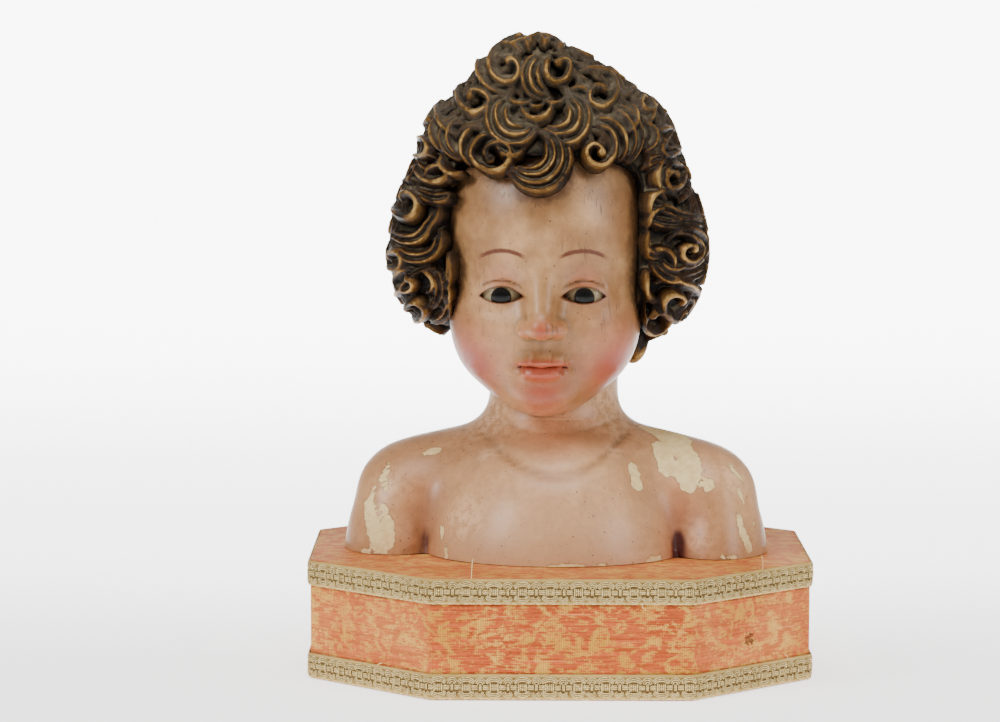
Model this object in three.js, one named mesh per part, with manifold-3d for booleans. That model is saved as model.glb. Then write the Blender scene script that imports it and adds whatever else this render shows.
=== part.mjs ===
// A carved and painted wooden bust of a curly-haired child, standing on a cloth-covered plinth.
// Millimetres, +Z up, origin at the middle of the plinth's underside, the face towards -Y.
import * as THREE from "three";
import { ParametricGeometry } from "three/addons/geometries/ParametricGeometry.js";
import { mergeVertices } from "three/addons/utils/BufferGeometryUtils.js";
import Module from "manifold-3d";

const wasm = await Module();
wasm.setup();

// Plinth: a wooden block with cut corners, cloth glued over it and a braid round each edge.
const PLINTH_WIDTH = 269;
const PLINTH_DEPTH = 254;
const PLINTH_HEIGHT = 63.4;
const CORNER_CUT = 66;
const CLOTH_THICK = 0.6;
const BRAID_WIDTH = 13.2;
const BRAID_THICK = 1.4;
const BRAID_LIFT = 0.8;
const GAP = 0.3;

// Bust: where its middle planes stand and how far they turn from the plinth's front, in degrees.
const BUST_FOOT = PLINTH_HEIGHT + GAP;
const TORSO = { at: [-1.5, -4, 0], turn: -5 };
const HEAD = { at: [-6.5, 8, 232], turn: -3 };
const NECK = { x: -3, y: 10, lean: -8, radius: 35, middle: 150, half: 45 };

// Face: the brows at half the head's height, then four equal parts to the chin.
const HEAD_HEIGHT = 170;
const CHIN_Z = 140 - HEAD.at[2];
const BROW_Z = CHIN_Z + HEAD_HEIGHT / 2;
const FACE_PART = HEAD_HEIGHT / 8;
const EYE_Z = BROW_Z - FACE_PART;
const NOSE_Z = BROW_Z - 2 * FACE_PART;
const MOUTH_Z = BROW_Z - 2.75 * FACE_PART;
const EYE_X = 22;
const EYE_Y = -51;
const EYE_RADIUS = 14;
const LID_THICK = 1.8;
const EYE_SLIT = { half: 11.5, up: 5, down: 3.6 };

// Hair: the face's opening in it, how far the ground lies under the mass that the locks ride on, and the nape.
const HAIRLINE_Z = 40;
const TEMPLE_X = 49;
const EAR_Y = -12;
const HAIR_GROUND = 2.4;
const NAPE_Z = -48;

// Locks: height of a ridge, degrees turned per step, how deep it is rooted, and its cross-section as shares of
// half its width and of its height.
const LOCK_HEIGHT = 4.2;
const LOCK_STEP = 70;
const LOCK_ROOT = 5;
const LOCK_SECTION = [
  [-1.2, -1],
  [0, 1],
  [1.2, -1],
];

// Grids: columns round the form and rows up it.
const BODY_GRID = [26, 12];
const HEAD_GRID = [34, 26];
const HAIR_GRID = [18, 12];
const OPENING_GRID = [14, 10];

const degrees = THREE.MathUtils.degToRad;
const material = (color, roughness, metalness = 0) =>
  new THREE.MeshStandardMaterial({ color, roughness, metalness });

// Signed distances, negative inside, blended into one another to make the carved forms.
function ellipsoid([x, y, z], [cx, cy, cz], [rx, ry, rz]) {
  const [u, v, w] = [(x - cx) / rx, (y - cy) / ry, (z - cz) / rz];
  const k0 = Math.hypot(u, v, w);
  const k1 = Math.hypot(u / rx, v / ry, w / rz);
  return (k0 * (k0 - 1)) / Math.max(k1, 1e-9);
}

// A rod with round ends from a to b.
function rod(p, a, b, radius) {
  const ab = b.map((c, i) => c - a[i]);
  const ap = p.map((c, i) => c - a[i]);
  const dot = (u, v) => u[0] * v[0] + u[1] * v[1] + u[2] * v[2];
  const t = THREE.MathUtils.clamp(dot(ap, ab) / dot(ab, ab), 0, 1);
  return Math.hypot(...ap.map((c, i) => c - ab[i] * t)) - radius;
}

function join(a, b, blend) {
  const h = Math.max(blend - Math.abs(a - b), 0) / blend;
  return Math.min(a, b) - (h * h * blend) / 4;
}

const carve = (a, b, blend) => -join(-a, b, blend);

// The point in the frame of a part that stands at a place and is turned about the upright.
function local([x, y, z], { at, turn }) {
  const [dx, dy] = [x - at[0], y - at[1]];
  const [c, s] = [Math.cos(degrees(turn)), Math.sin(degrees(turn))];
  return [c * dx + s * dy, -s * dx + c * dy, z - at[2]];
}

const mirrored = ([x, y, z]) => [Math.abs(x), y, z];

function torso(p) {
  const q = local(p, TORSO);
  const side = mirrored(q);
  const armpit = 9 + 22 * THREE.MathUtils.smoothstep(q[2], 68, 108);
  let d = ellipsoid(q, [0, -17, 58], [70, 64, 72]);
  d = join(d, ellipsoid(q, [0, 12, 70], [84, 40, 58]), 16);
  d = join(d, ellipsoid(side, [30, 6, 92], [66, 36, 38]), 18);
  return join(d, ellipsoid(side, [87, -6, 52], [28.5, 40, 60]), armpit);
}

function neck([x, y, z]) {
  const flare = 1.2 * Math.max(0, (150 - z) / 14) ** 1.6;
  const radius = NECK.radius + flare;
  const middle = NECK.y + (NECK.lean * (z - 120)) / 60;
  const d = Math.hypot(x - NECK.x, y - middle) - radius;
  return -join(-d, NECK.half - Math.abs(z - NECK.middle), 10);
}

const body = (p) => join(torso(p), neck(p), 14);

function skull(q) {
  const side = mirrored(q);
  let d = ellipsoid(q, [0, 2, 8], [64, 77, 70]);
  d = join(d, ellipsoid(q, [0, -22, -42], [47, 50, 50]), 20);
  d = join(d, ellipsoid(side, [22, -37, -48], [26, 27, 28]), 14);
  return join(d, ellipsoid(q, [0, -44, -74], [22, 25, 18]), 16);
}

// The face's own forms: sockets, lids, nose, lips and chin.
function head(p) {
  const q = local(p, HEAD);
  const side = mirrored(q);
  let d = skull(q);
  d = carve(d, ellipsoid(side, [EYE_X, -80, EYE_Z + 2], [16, 14, 11]), 10);
  d = join(d, ellipsoid(side, [EYE_X, EYE_Y, EYE_Z], Array(3).fill(EYE_RADIUS + LID_THICK)), 3);
  d = join(d, rod(q, [0, -68, BROW_Z - 8], [0, -78, NOSE_Z + 8], 6), 9);
  d = join(d, ellipsoid(q, [0, -79, NOSE_Z + 5], [7.5, 7.5, 6.5]), 4);
  d = join(d, ellipsoid(side, [8.5, -73, NOSE_Z + 4], [5, 6, 4.6]), 3);
  d = join(d, ellipsoid(side, [4.5, -71.5, MOUTH_Z + 2.8], [10, 5.5, 3.4]), 3);
  d = join(d, ellipsoid(q, [0, -71, MOUTH_Z - 3.2], [11, 6, 4]), 3);
  d = join(d, ellipsoid(q, [0, -61, CHIN_Z + 12], [13, 11, 11]), 8);
  return d;
}

// The mass of the hair under its locks, swelling at the sides and gathered in a knot above the forehead.
function hairMass(p) {
  const q = local(p, HEAD);
  const side = mirrored(q);
  let d = ellipsoid(q, [0, 3, 8], [76, 84, 80]);
  d = join(d, ellipsoid(side, [28, -6, 54], [33, 50, 24]), 16);
  d = join(d, ellipsoid(side, [52, 4, -10], [29, 50, 40]), 16);
  d = join(d, ellipsoid(side, [56, -20, -6], [24, 30, 36]), 12);
  d = join(d, ellipsoid(q, [0, 38, -14], [68, 50, 46]), 24);
  d = join(d, ellipsoid(q, [-23, -16, 80], [17, 30, 19]), 12);
  d = join(d, ellipsoid(q, [17, -16, 76], [18, 30, 19]), 12);
  return join(d, ellipsoid(q, [-6, -20, 85], [21, 28, 22]), 12);
}

// How far a ray goes inside a form before it leaves it.
function reach(form, from, direction, longest = 160) {
  let [inside, outside] = [0, longest];
  for (let i = 0; i < 26; i++) {
    const middle = (inside + outside) / 2;
    const p = from.map((c, k) => c + direction[k] * middle);
    if (form(p) < 0) inside = middle;
    else outside = middle;
  }
  return inside;
}

const along = (from, direction, distance) => from.map((c, k) => c + direction[k] * distance);

// A closed grid surface as a solid: its doubled points merged, collapsed faces dropped, faces outwards.
function solid(geometry) {
  const bare = new THREE.BufferGeometry();
  bare.setAttribute("position", geometry.getAttribute("position"));
  bare.setIndex(geometry.getIndex());
  const merged = mergeVertices(bare, 1e-3);
  const [index, kept] = [merged.index.array, []];
  for (let i = 0; i < index.length; i += 3) {
    const [a, b, c] = index.slice(i, i + 3);
    if (a !== b && b !== c && c !== a) kept.push(a, b, c);
  }
  const make = (triVerts) =>
    new wasm.Manifold(
      new wasm.Mesh({ numProp: 3, vertProperties: merged.attributes.position.array, triVerts }),
    );
  const made = make(new Uint32Array(kept));
  return made.volume() > 0 ? made : make(new Uint32Array(kept.reverse()));
}

function geometryOf(made) {
  const { vertProperties, triVerts } = made.getMesh();
  const geometry = new THREE.BufferGeometry();
  geometry.setAttribute("position", new THREE.BufferAttribute(vertProperties, 3));
  geometry.setIndex(new THREE.BufferAttribute(triVerts, 1));
  geometry.computeVertexNormals();
  return geometry;
}

// Columns stand closer together in front, where the carving is finest. Angle 0 looks along -Y.
function columnAngle(u) {
  const w = 2 * u - 1;
  return Math.PI * (0.5 * w + 0.5 * w ** 3);
}

const between = (stations, v) => {
  const place = v * (stations.length - 1);
  const i = Math.min(Math.floor(place), stations.length - 2);
  return stations[i].map((c, k) => c + (stations[i + 1][k] - c) * (place - i));
};

// Shoulders and neck: rays fan out from a spine that is as long as the shoulders at the foot and shrinks to
// the neck's middle. Each station is the spine's height, its half length and the rays' rise in degrees.
function bodySolid() {
  const stations = [
    [BUST_FOOT, 78, 0],
    [78, 76, 0],
    [90, 70, 12],
    [98, 56, 34],
    [106, 36, 45],
    [113, 8, 42],
    [128, 0, 14],
    [150, 0, 0],
    [178, 0, 0],
  ];
  const [columns, rows] = BODY_GRID;
  const row = (u, v, target) => {
    const step = Math.round(v * (rows + 2));
    const [z, half, rise] = between(stations, THREE.MathUtils.clamp((step - 1) / rows, 0, 1));
    const angle = columnAngle(u % 1);
    const turn = Math.atan2(Math.sin(angle) ** 3, Math.cos(angle));
    const flat = half > 0 ? turn * Math.min(1, half / 30) + angle * Math.max(0, 1 - half / 30) : angle;
    const capped = step === 0 || step === rows + 2;
    const from = [TORSO.at[0] + (capped ? 0 : half * Math.sin(angle)), TORSO.at[1] + 3, z];
    const level = Math.cos(degrees(rise));
    const ray = [level * Math.sin(flat), -level * Math.cos(flat), Math.sin(degrees(rise))];
    target.set(...along(from, ray, capped ? 0 : reach(body, from, ray)));
  };
  return solid(new ParametricGeometry(row, columns, rows + 2));
}

// A closed form seen from a point within it: rays at every angle, from the pole below to the pole above.
function starSolid(form, centre, [columns, rows], rise) {
  const point = (u, v, target) => {
    const angle = columnAngle(u % 1);
    const up = v === 0 || v === 1 ? (v - 0.5) * Math.PI : rise(v);
    const ray = [Math.cos(up) * Math.sin(angle), -Math.cos(up) * Math.cos(angle), Math.sin(up)];
    if (v === 0 || v === 1) ray.fill(0, 0, 2);
    target.set(...along(centre, ray, reach(form, centre, ray)));
  };
  return solid(new ParametricGeometry(point, columns, rows));
}

const FACE_CENTRE = [HEAD.at[0], -2, 205];
const HAIR_CENTRE = [HEAD.at[0], 12, 232];

// Rows stand closer together over the face.
const faceRise = (v) => {
  const w = 2 * v - 0.86;
  return degrees(-17 + 62 * w + 32 * w ** 3);
};

// The hair's ground under the locks, level at the nape.
function hairGround(p) {
  return Math.max(hairMass(p) + HAIR_GROUND, NAPE_Z - local(p, HEAD)[2]);
}

// The face's opening in the hair: upright sides and a level top, wider towards the front.
function faceOpening(p) {
  const q = local(p, HEAD);
  const flare = 0.55 * Math.max(-45 - q[1], 0);
  const sides = Math.abs(q[0]) - TEMPLE_X - flare;
  const top = q[2] - HAIRLINE_Z - 0.5 * flare;
  return Math.max(-join(-sides, -top, 14), q[1] - EAR_Y, -130 - q[1]);
}

// The direction at an azimuth from -Y towards +X and a rise, both in degrees.
function aim(azimuth, rise) {
  const [a, e] = [degrees(azimuth), degrees(rise)];
  return new THREE.Vector3(Math.cos(e) * Math.sin(a), -Math.cos(e) * Math.cos(a), Math.sin(e));
}

// Where a ray from the hair's centre towards a point leaves the mass.
function onMass(toward) {
  const ray = toward.clone().sub(new THREE.Vector3(...HAIR_CENTRE)).normalize().toArray();
  return new THREE.Vector3(...along(HAIR_CENTRE, ray, reach(hairMass, HAIR_CENTRE, ray)));
}

// The way out of the mass at a point.
function outward(at) {
  const slope = [0, 1, 2].map((k) => {
    const [more, less] = [at.toArray(), at.toArray()];
    more[k] += 0.5;
    less[k] -= 0.5;
    return hairMass(more) - hairMass(less);
  });
  return new THREE.Vector3(...slope).normalize();
}

// The point of the mass that lies behind x and z as seen from the front, found by stepping along its surface.
function behind(x, z) {
  let at = onMass(new THREE.Vector3(x, HAIR_CENTRE[1] - 55, z));
  for (let round = 0; round < 5; round++) {
    const normal = outward(at);
    const [dx, dz] = [x - at.x, z - at.z];
    const dy = -(normal.x * dx + normal.z * dz) / Math.min(normal.y, -0.4);
    at = onMass(at.add(new THREE.Vector3(dx, dy, dz)));
  }
  return at;
}

// Two ways to lay a flat drawing on the hair, u level and v upwards: as seen from the front, kept clear of the
// face, or on a disc that touches the mass at an azimuth and rise.
const inFront = (x, z) => (u, v) => {
  const side = Math.abs(x) > TEMPLE_X + 3 ? Math.sign(x) : 0;
  const over = Math.abs(side) * Math.max(TEMPLE_X + 3 - side * (x + u), 0);
  return behind(HAIR_CENTRE[0] + x + u + 0.75 * side * over, HAIR_CENTRE[2] + z + v);
};

function onDisc(azimuth, rise) {
  const out = aim(azimuth, rise);
  const right = new THREE.Vector3(0, 0, 1).cross(out).normalize();
  const up = out.clone().cross(right);
  const middle = onMass(out.add(new THREE.Vector3(...HAIR_CENTRE)));
  return (u, v) => onMass(middle.clone().addScaledVector(right, u).addScaledVector(up, v));
}

// One lock: a ridge along a spiral that is laid on the mass. Radii and angles run from root to tip.
function lockSolid({ lay, radii, angles: [start, end], width }) {
  const count = Math.max(3, Math.round(Math.abs(end - start) / LOCK_STEP));
  const curl = radii.at(-1) < 0.8 * radii[0];
  const path = Array.from({ length: count + 1 }, (_, i) => {
    const t = i / count;
    const angle = degrees(start + (end - start) * t);
    const [radius] = between(radii.map((r) => [r]), t);
    const [inner, outer] = [radius - 1, radius + 1].map((r) =>
      lay(r * Math.cos(angle), r * Math.sin(angle)),
    );
    const at = inner.clone().add(outer).multiplyScalar(0.5);
    const thin = curl ? 1 - 0.4 * t : Math.sqrt(Math.sin(Math.PI * (0.12 + 0.8 * t)));
    return { at, across: outer.sub(inner).normalize(), lift: outward(at), thin };
  });
  const section = (i, side, rise) => {
    const { at, across, lift, thin } = path[i];
    const height = rise > 0 ? rise * LOCK_HEIGHT * thin : rise * LOCK_ROOT;
    return at.clone().addScaledVector(across, side * 0.5 * width * thin).addScaledVector(lift, height);
  };
  const point = (u, v, target) => {
    const i = Math.round(v * (count + 2)) - 1;
    const corner = LOCK_SECTION[Math.round(u * LOCK_SECTION.length) % LOCK_SECTION.length];
    const capped = i < 0 || i > count;
    target.copy(section(THREE.MathUtils.clamp(i, 0, count), ...(capped ? [0, -0.3] : corner)));
  };
  return solid(new ParametricGeometry(point, LOCK_SECTION.length, count + 2));
}

// The locks that show in front, each cut on its own: the middle's x and z from the head's centre, radii from
// root to tip, first and last angle, and width.
const FRONT_LOCKS = [
  [[-21, 92], [10, 9.8, 9, 6.5], [45, 350], 7],
  [[-5, 90], [19.5, 20], [75, 15], 7.5],
  [[-14, 92], [15, 14], [165, 60], 7.5],
  [[5, 91], [7.6, 7.6, 5], [120, 400], 6.4],
  [[0, 87], [10.5, 10], [112, 268], 11.5],
  [[-38, 75], [9.5, 8.5, 5.5], [95, 400], 7],
  [[26, 78], [15.4, 8.4, 8.3, 6.5], [136, -170], 7],
  [[24, 77], [17, 13.5], [125, -20], 7],
  [[-7, 72], [8.4, 8.4], [168, 390], 6],
  [[-17, 66], [10.5, 10.5], [112, 322], 14.5],
  [[5, 66], [10.5, 10.5], [72, -140], 14.5],
  [[-29, 45], [10.6, 11.5, 9, 7.4], [70, 340], 6.4],
  [[-8, 45], [13, 11.7, 12], [72, -152], 16],
  [[25, 46], [15.4, 9, 5.8], [108, -150], 6.4],
  [[28, 53], [15, 15], [90, -45], 10],
  [[-43, 56], [11.7, 12], [125, 250], 8.5],
  [[-46, 68], [12, 12], [150, 262], 7],
  [[48, 62], [17, 16], [140, 20], 8.5],
  [[58, 60], [8, 8], [100, -60], 7.5],
  [[61, 50], [9, 8, 5], [130, -150], 6.8],
  [[65, 32], [20.2, 12.3, 11.6], [155, -75], 8.5],
  [[65, 32], [12, 5.9, 5], [153, -150], 6],
  [[67, 34], [19.2, 18.7, 26], [212, 305], 8.5],
  [[74, -5], [21, 13.8, 13.3, 16], [148, -150], 8.5],
  [[74, -5], [13, 5.6, 5], [150, -150], 6],
  [[69, -2], [17, 18], [206, 292], 8.5],
  [[68, -32], [16, 10.6, 9.5, 8], [140, -170], 7.6],
  [[56, -40], [14, 7.5, 7.5, 6], [118, 400], 7.2],
  [[-68, 50], [11.7, 7.5, 6], [74, 380], 6.6],
  [[-60, 40], [17.8, 17.5], [306, 232], 8.5],
  [[-75, 20], [11.2, 8, 8.5, 6], [46, 370], 7.4],
  [[-76, 13], [20, 13.8, 12], [24, -138], 8.6],
  [[-73, 3], [16, 12.5, 13.5], [12, -155], 9],
  [[-81, -10], [7, 6.5, 5], [170, 440], 6.6],
  [[-74, -22], [6.5, 6, 4.5], [70, 350], 6.4],
  [[-72, -37], [26, 10, 7.5, 6.5], [62, 380], 7],
];

// Curls spread evenly over the sides, crown and back, those too near the face or a front lock left out.
const CURLS = 60;
const CURL = { radii: [15, 13, 10, 5], turn: 330, width: 13, apart: 18 };

function freeCurls() {
  const taken = FRONT_LOCKS.map(([[x, z]]) => behind(HAIR_CENTRE[0] + x, HAIR_CENTRE[2] + z));
  return Array.from({ length: CURLS }, (_, i) => {
    const rise = THREE.MathUtils.radToDeg(Math.asin(1 - (2 * i + 1) / CURLS));
    const azimuth = (i * 180 * (3 - Math.sqrt(5))) % 360;
    const lay = onDisc(azimuth, rise);
    const at = lay(0, 0);
    const [x, y, z] = local(at.toArray(), HEAD);
    const onFace = Math.abs(x) < TEMPLE_X + 12 && z < HAIRLINE_Z + 8 && y < EAR_Y;
    const free = !onFace && z > NAPE_Z + 8 && taken.every((other) => other.distanceTo(at) > CURL.apart);
    const [start, hand] = [90 + 55 * Math.sin(2.4 * i), i % 2 ? 1 : -1];
    return free && { ...CURL, lay, angles: [start, start + hand * CURL.turn] };
  }).filter(Boolean);
}

function hairLocks() {
  const front = FRONT_LOCKS.map(([place, radii, angles, width]) => {
    return { lay: inFront(...place), radii, angles, width };
  });
  return [...front, ...freeCurls()].map(lockSolid);
}

// A wisp that hangs behind the neck, to the viewer's right.
const WISP = { at: [48, 14, -52], radius: 7, length: 18, lean: -14 };

function wispSolid() {
  const shape = new THREE.CapsuleGeometry(WISP.radius, WISP.length, 3, 6).rotateX(Math.PI / 2);
  return onHead(solid(shape.rotateY(degrees(WISP.lean))), WISP.at);
}

// The almond opening between the lids: two arcs that meet at the corners, flaring towards the front.
function eyeSlit() {
  const { half, up, down } = EYE_SLIT;
  const arc = (rise, grow) => {
    const radius = (half ** 2 + rise ** 2) / (2 * rise) + grow;
    return [radius, radius - rise - grow];
  };
  const [columns, rows] = [12, 3];
  const point = (u, v, target) => {
    const step = Math.round(v * rows);
    const grow = step >= 2 ? 1 : 0;
    const angle = 2 * Math.PI * (u % 1);
    const x = Math.cos(angle) * (half + grow);
    const rise = Math.sin(angle) > 0 ? up : down;
    const [radius, drop] = arc(rise, grow);
    const z = Math.sign(Math.sin(angle)) * Math.max(0, Math.sqrt(Math.max(0, radius ** 2 - x ** 2)) - drop);
    const y = step >= 2 ? -EYE_RADIUS - 8 : -EYE_RADIUS * 0.35;
    const capped = step === 0 || step === rows;
    target.set(capped ? 0 : x, y, capped ? 0 : Math.abs(Math.sin(angle)) < 1e-6 ? 0 : z);
  };
  return solid(new ParametricGeometry(point, columns, rows));
}

// A solid in the head's frame moved to where the head stands.
const onHead = (made, [x, y, z]) =>
  made
    .translate([x, y, z])
    .rotate([0, 0, HEAD.turn])
    .translate(HEAD.at);

const EYE_GRID = [12, 7];
const ball = (radius) => solid(new THREE.SphereGeometry(radius, ...EYE_GRID).rotateX(Math.PI / 2));
const eyePlaces = { eye_left: -EYE_X, eye_right: EYE_X };

function bustSolid() {
  const flesh = bodySolid().add(starSolid(head, FACE_CENTRE, HEAD_GRID, faceRise));
  const level = (v) => (v - 0.5) * Math.PI;
  const ground = starSolid(hairGround, HAIR_CENTRE, HAIR_GRID, level);
  const opening = starSolid(faceOpening, along(FACE_CENTRE, [0, -1, 0], 50), OPENING_GRID, level);
  const hair = ground.subtract(opening).add(wispSolid());
  let made = hairLocks().reduce((sum, lock) => sum.add(lock), hair.add(flesh));
  for (const x of Object.values(eyePlaces)) {
    const place = [x, EYE_Y, EYE_Z];
    made = made.subtract(onHead(ball(EYE_RADIUS + GAP), place));
    made = made.subtract(onHead(eyeSlit(), place));
  }
  // Locks that lap over one another can shut in a small pocket, so only the outer skin is kept.
  return made.decompose().reduce((a, b) => (b.volume() > a.volume() ? b : a));
}

// The plinth's outline, drawn in by an inset.
function plinthShape(inset) {
  const [x, y] = [PLINTH_WIDTH / 2 - inset, PLINTH_DEPTH / 2 - inset];
  const cut = CORNER_CUT - inset * (2 - Math.SQRT2);
  const corners = [
    [x - cut, -y],
    [x, -y + cut],
    [x, y - cut],
    [x - cut, y],
    [-x + cut, y],
    [-x, y - cut],
    [-x, -y + cut],
    [-x + cut, -y],
  ];
  return new THREE.Shape(corners.map(([cx, cy]) => new THREE.Vector2(cx, cy)));
}

function slab(inset, depth) {
  return new THREE.ExtrudeGeometry(plinthShape(inset), { depth, bevelEnabled: false });
}

function band(inset, thick, depth) {
  const shape = plinthShape(inset);
  shape.holes.push(plinthShape(inset + thick));
  return new THREE.ExtrudeGeometry(shape, { depth, bevelEnabled: false });
}

const bust = new THREE.Group();

function add(name, geometry, finish, z = 0) {
  const mesh = new THREE.Mesh(geometry, finish);
  mesh.name = name;
  mesh.position.z = z;
  bust.add(mesh);
  return mesh;
}

const clothInset = BRAID_THICK + GAP;
const blockInset = clothInset + CLOTH_THICK + GAP;
const clothTop = PLINTH_HEIGHT - CLOTH_THICK;
const sideTop = clothTop - GAP;

add("plinth_block", slab(blockInset, sideTop), material("#8a6a45", 0.8));
add("cloth_top", slab(clothInset, CLOTH_THICK), material("#c98a63", 0.9), clothTop);
add("cloth_side", band(clothInset, CLOTH_THICK, sideTop - GAP), material("#c98a63", 0.9), GAP);
for (const [name, z] of [
  ["braid_top", PLINTH_HEIGHT - BRAID_WIDTH],
  ["braid_bottom", BRAID_LIFT],
]) {
  add(name, band(0, BRAID_THICK, BRAID_WIDTH), material("#a59a72", 0.85), z);
}
add("bust", geometryOf(bustSolid()), material("#b89476", 0.5));
for (const [name, x] of Object.entries(eyePlaces)) {
  add(name, geometryOf(onHead(ball(EYE_RADIUS), [x, EYE_Y, EYE_Z])), material("#3a3733", 0.1));
}

export default bust;
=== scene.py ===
"""A carved and painted wooden bust of a curly-haired child on a cloth-covered plinth.

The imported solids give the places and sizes. Each piece here is a surface worked out with numpy in millimetres,
in the solids' own frame, and scaled to metres when it becomes a mesh. The face looks towards -Y.
"""

import bpy
import numpy as np
from bpy.props import FloatProperty, FloatVectorProperty, PointerProperty
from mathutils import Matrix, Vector


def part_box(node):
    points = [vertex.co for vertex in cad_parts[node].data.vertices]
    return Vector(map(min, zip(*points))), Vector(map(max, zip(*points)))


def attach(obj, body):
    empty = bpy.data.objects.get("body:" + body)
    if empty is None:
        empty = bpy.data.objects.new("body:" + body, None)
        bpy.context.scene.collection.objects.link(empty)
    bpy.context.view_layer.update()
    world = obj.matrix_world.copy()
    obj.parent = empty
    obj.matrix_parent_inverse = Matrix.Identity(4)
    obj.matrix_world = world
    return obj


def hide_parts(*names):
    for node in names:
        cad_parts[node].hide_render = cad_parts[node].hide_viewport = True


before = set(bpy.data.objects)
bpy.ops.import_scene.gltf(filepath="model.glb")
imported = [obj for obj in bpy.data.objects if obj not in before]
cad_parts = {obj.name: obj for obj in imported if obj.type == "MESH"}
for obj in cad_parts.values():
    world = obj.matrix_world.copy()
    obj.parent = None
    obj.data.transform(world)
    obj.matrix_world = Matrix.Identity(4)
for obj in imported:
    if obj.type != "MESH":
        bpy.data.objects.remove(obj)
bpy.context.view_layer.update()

bl_info = {
    "name": "Carved Bust on a Covered Plinth",
    "version": (1, 0, 0),
    "blender": (4, 5, 0),
    "location": "3D View > Sidebar > Bust",
    "description": "Carves, paints and sets up a child's bust on a plinth dressed in cloth and braid",
    "category": "Object",
}

MM = 0.001


def limits(node):
    """A node's lowest and highest corners in millimetres."""
    low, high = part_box(node)
    return np.array(low) / MM, np.array(high) / MM


# Where the bust's parts stand, in millimetres, with turns in degrees
BUST_FOOT = limits("bust")[0][2]
TORSO_AT, TORSO_TURN = (-1.5, -4, 0), -5
HEAD_AT, HEAD_TURN = (-6.5, 8, 232), -3
NECK_X, NECK_Y, NECK_LEAN, NECK_RADIUS = -3, 10, -8, 35
NECK_MIDDLE, NECK_HALF = 150, 45
FACE_CENTRE = np.array((HEAD_AT[0], -2, 205), float)
HAIR_CENTRE = np.array((HEAD_AT[0], 12, 232), float)

# The face: the brows at half the head's height, then four equal parts down to the chin
HEAD_HEIGHT = 170
CHIN_Z = 140 - HEAD_AT[2]
BROW_Z = CHIN_Z + HEAD_HEIGHT / 2
FACE_PART = HEAD_HEIGHT / 8
EYE_Z = BROW_Z - FACE_PART
NOSE_Z = BROW_Z - 2 * FACE_PART
MOUTH_Z = BROW_Z - 2.75 * FACE_PART
EYE_X, EYE_Y, EYE_RADIUS, LID_THICK = 22, -51, 14, 1.8
SLIT_HALF, SLIT_UP, SLIT_DOWN = 11.5, 5, 3.6
HAIRLINE_Z, TEMPLE_X = 40, 49

# How deep the ground between the locks lies under the hair's outer mass, and where the hair is cut at the nape
HAIR_GROUND, NAPE_Z = 2.4, -48

SNAILS, SNAIL_RADIUS, STROKES, STROKE_WIDTH = 260, 8.6, 1500, 4.8
SEED = 7
HAIR_TRIANGLES = 122000


# Signed distances over whole arrays of points, negative inside


def ellipsoid(p, centre, radii):
    """|p/r| (|p/r| - 1) / |p/r^2|: close to the distance from an ellipsoid's surface."""
    q = (p - np.array(centre, float)) / np.array(radii, float)
    k0 = np.sqrt((q**2).sum(-1))
    k1 = np.sqrt(((q / np.array(radii, float)) ** 2).sum(-1))
    return k0 * (k0 - 1) / np.maximum(k1, 1e-9)


def rod(p, a, b, radius):
    """The distance from the stretch between a and b, less the radius."""
    a, b = np.array(a, float), np.array(b, float)
    t = np.clip(((p - a) @ (b - a)) / ((b - a) @ (b - a)), 0, 1)
    return np.linalg.norm(p - a - t[..., None] * (b - a), axis=-1) - radius


def join(a, b, blend):
    """The smaller of two distances, rounded off by a parabola where they are within the blend."""
    h = np.maximum(blend - np.abs(a - b), 0) / blend
    return np.minimum(a, b) - h * h * blend / 4


def carve(a, b, blend):
    """The first form with the second cut out of it."""
    return -join(-a, b, blend)


def bell(x, width):
    """exp(-(x/width)^2)"""
    return np.exp(-((x / width) ** 2))


def smooth(x, low, high):
    """0 below low, 1 above high, and 3t^2 - 2t^3 between."""
    t = np.clip((x - low) / (high - low), 0, 1)
    return t * t * (3 - 2 * t)


def unit(v):
    return v / np.maximum(np.linalg.norm(v, axis=-1, keepdims=True), 1e-9)


def local(p, at, turn):
    """Points in the frame of a part that stands at a place and is turned about the upright."""
    c, s = np.cos(np.radians(turn)), np.sin(np.radians(turn))
    d = p - np.array(at, float)
    return np.stack([c * d[..., 0] + s * d[..., 1], c * d[..., 1] - s * d[..., 0], d[..., 2]], -1)


def placed(q, at, turn):
    """The way back from a part's own frame."""
    c, s = np.cos(np.radians(turn)), np.sin(np.radians(turn))
    x, y = c * q[..., 0] - s * q[..., 1], s * q[..., 0] + c * q[..., 1]
    return np.stack([x, y, q[..., 2]], -1) + np.array(at, float)


def mirrored(q):
    """One side stands for both."""
    return np.stack([np.abs(q[..., 0]), q[..., 1], q[..., 2]], -1)


def torso(p):
    """Chest, back, the yoke of the shoulders and two arm stumps, whose crease softens upwards."""
    q = local(p, TORSO_AT, TORSO_TURN)
    side = mirrored(q)
    crease = 6 + 26 * smooth(q[..., 2], 66, 108)
    d = ellipsoid(q, (0, -17, 58), (70, 64, 72))
    d = join(d, ellipsoid(q, (0, 12, 70), (84, 40, 58)), 16)
    d = join(d, ellipsoid(side, (30, 6, 92), (66, 36, 38)), 18)
    return join(d, ellipsoid(side, (87, -6, 52), (28.5, 40, 60)), crease)


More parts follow.
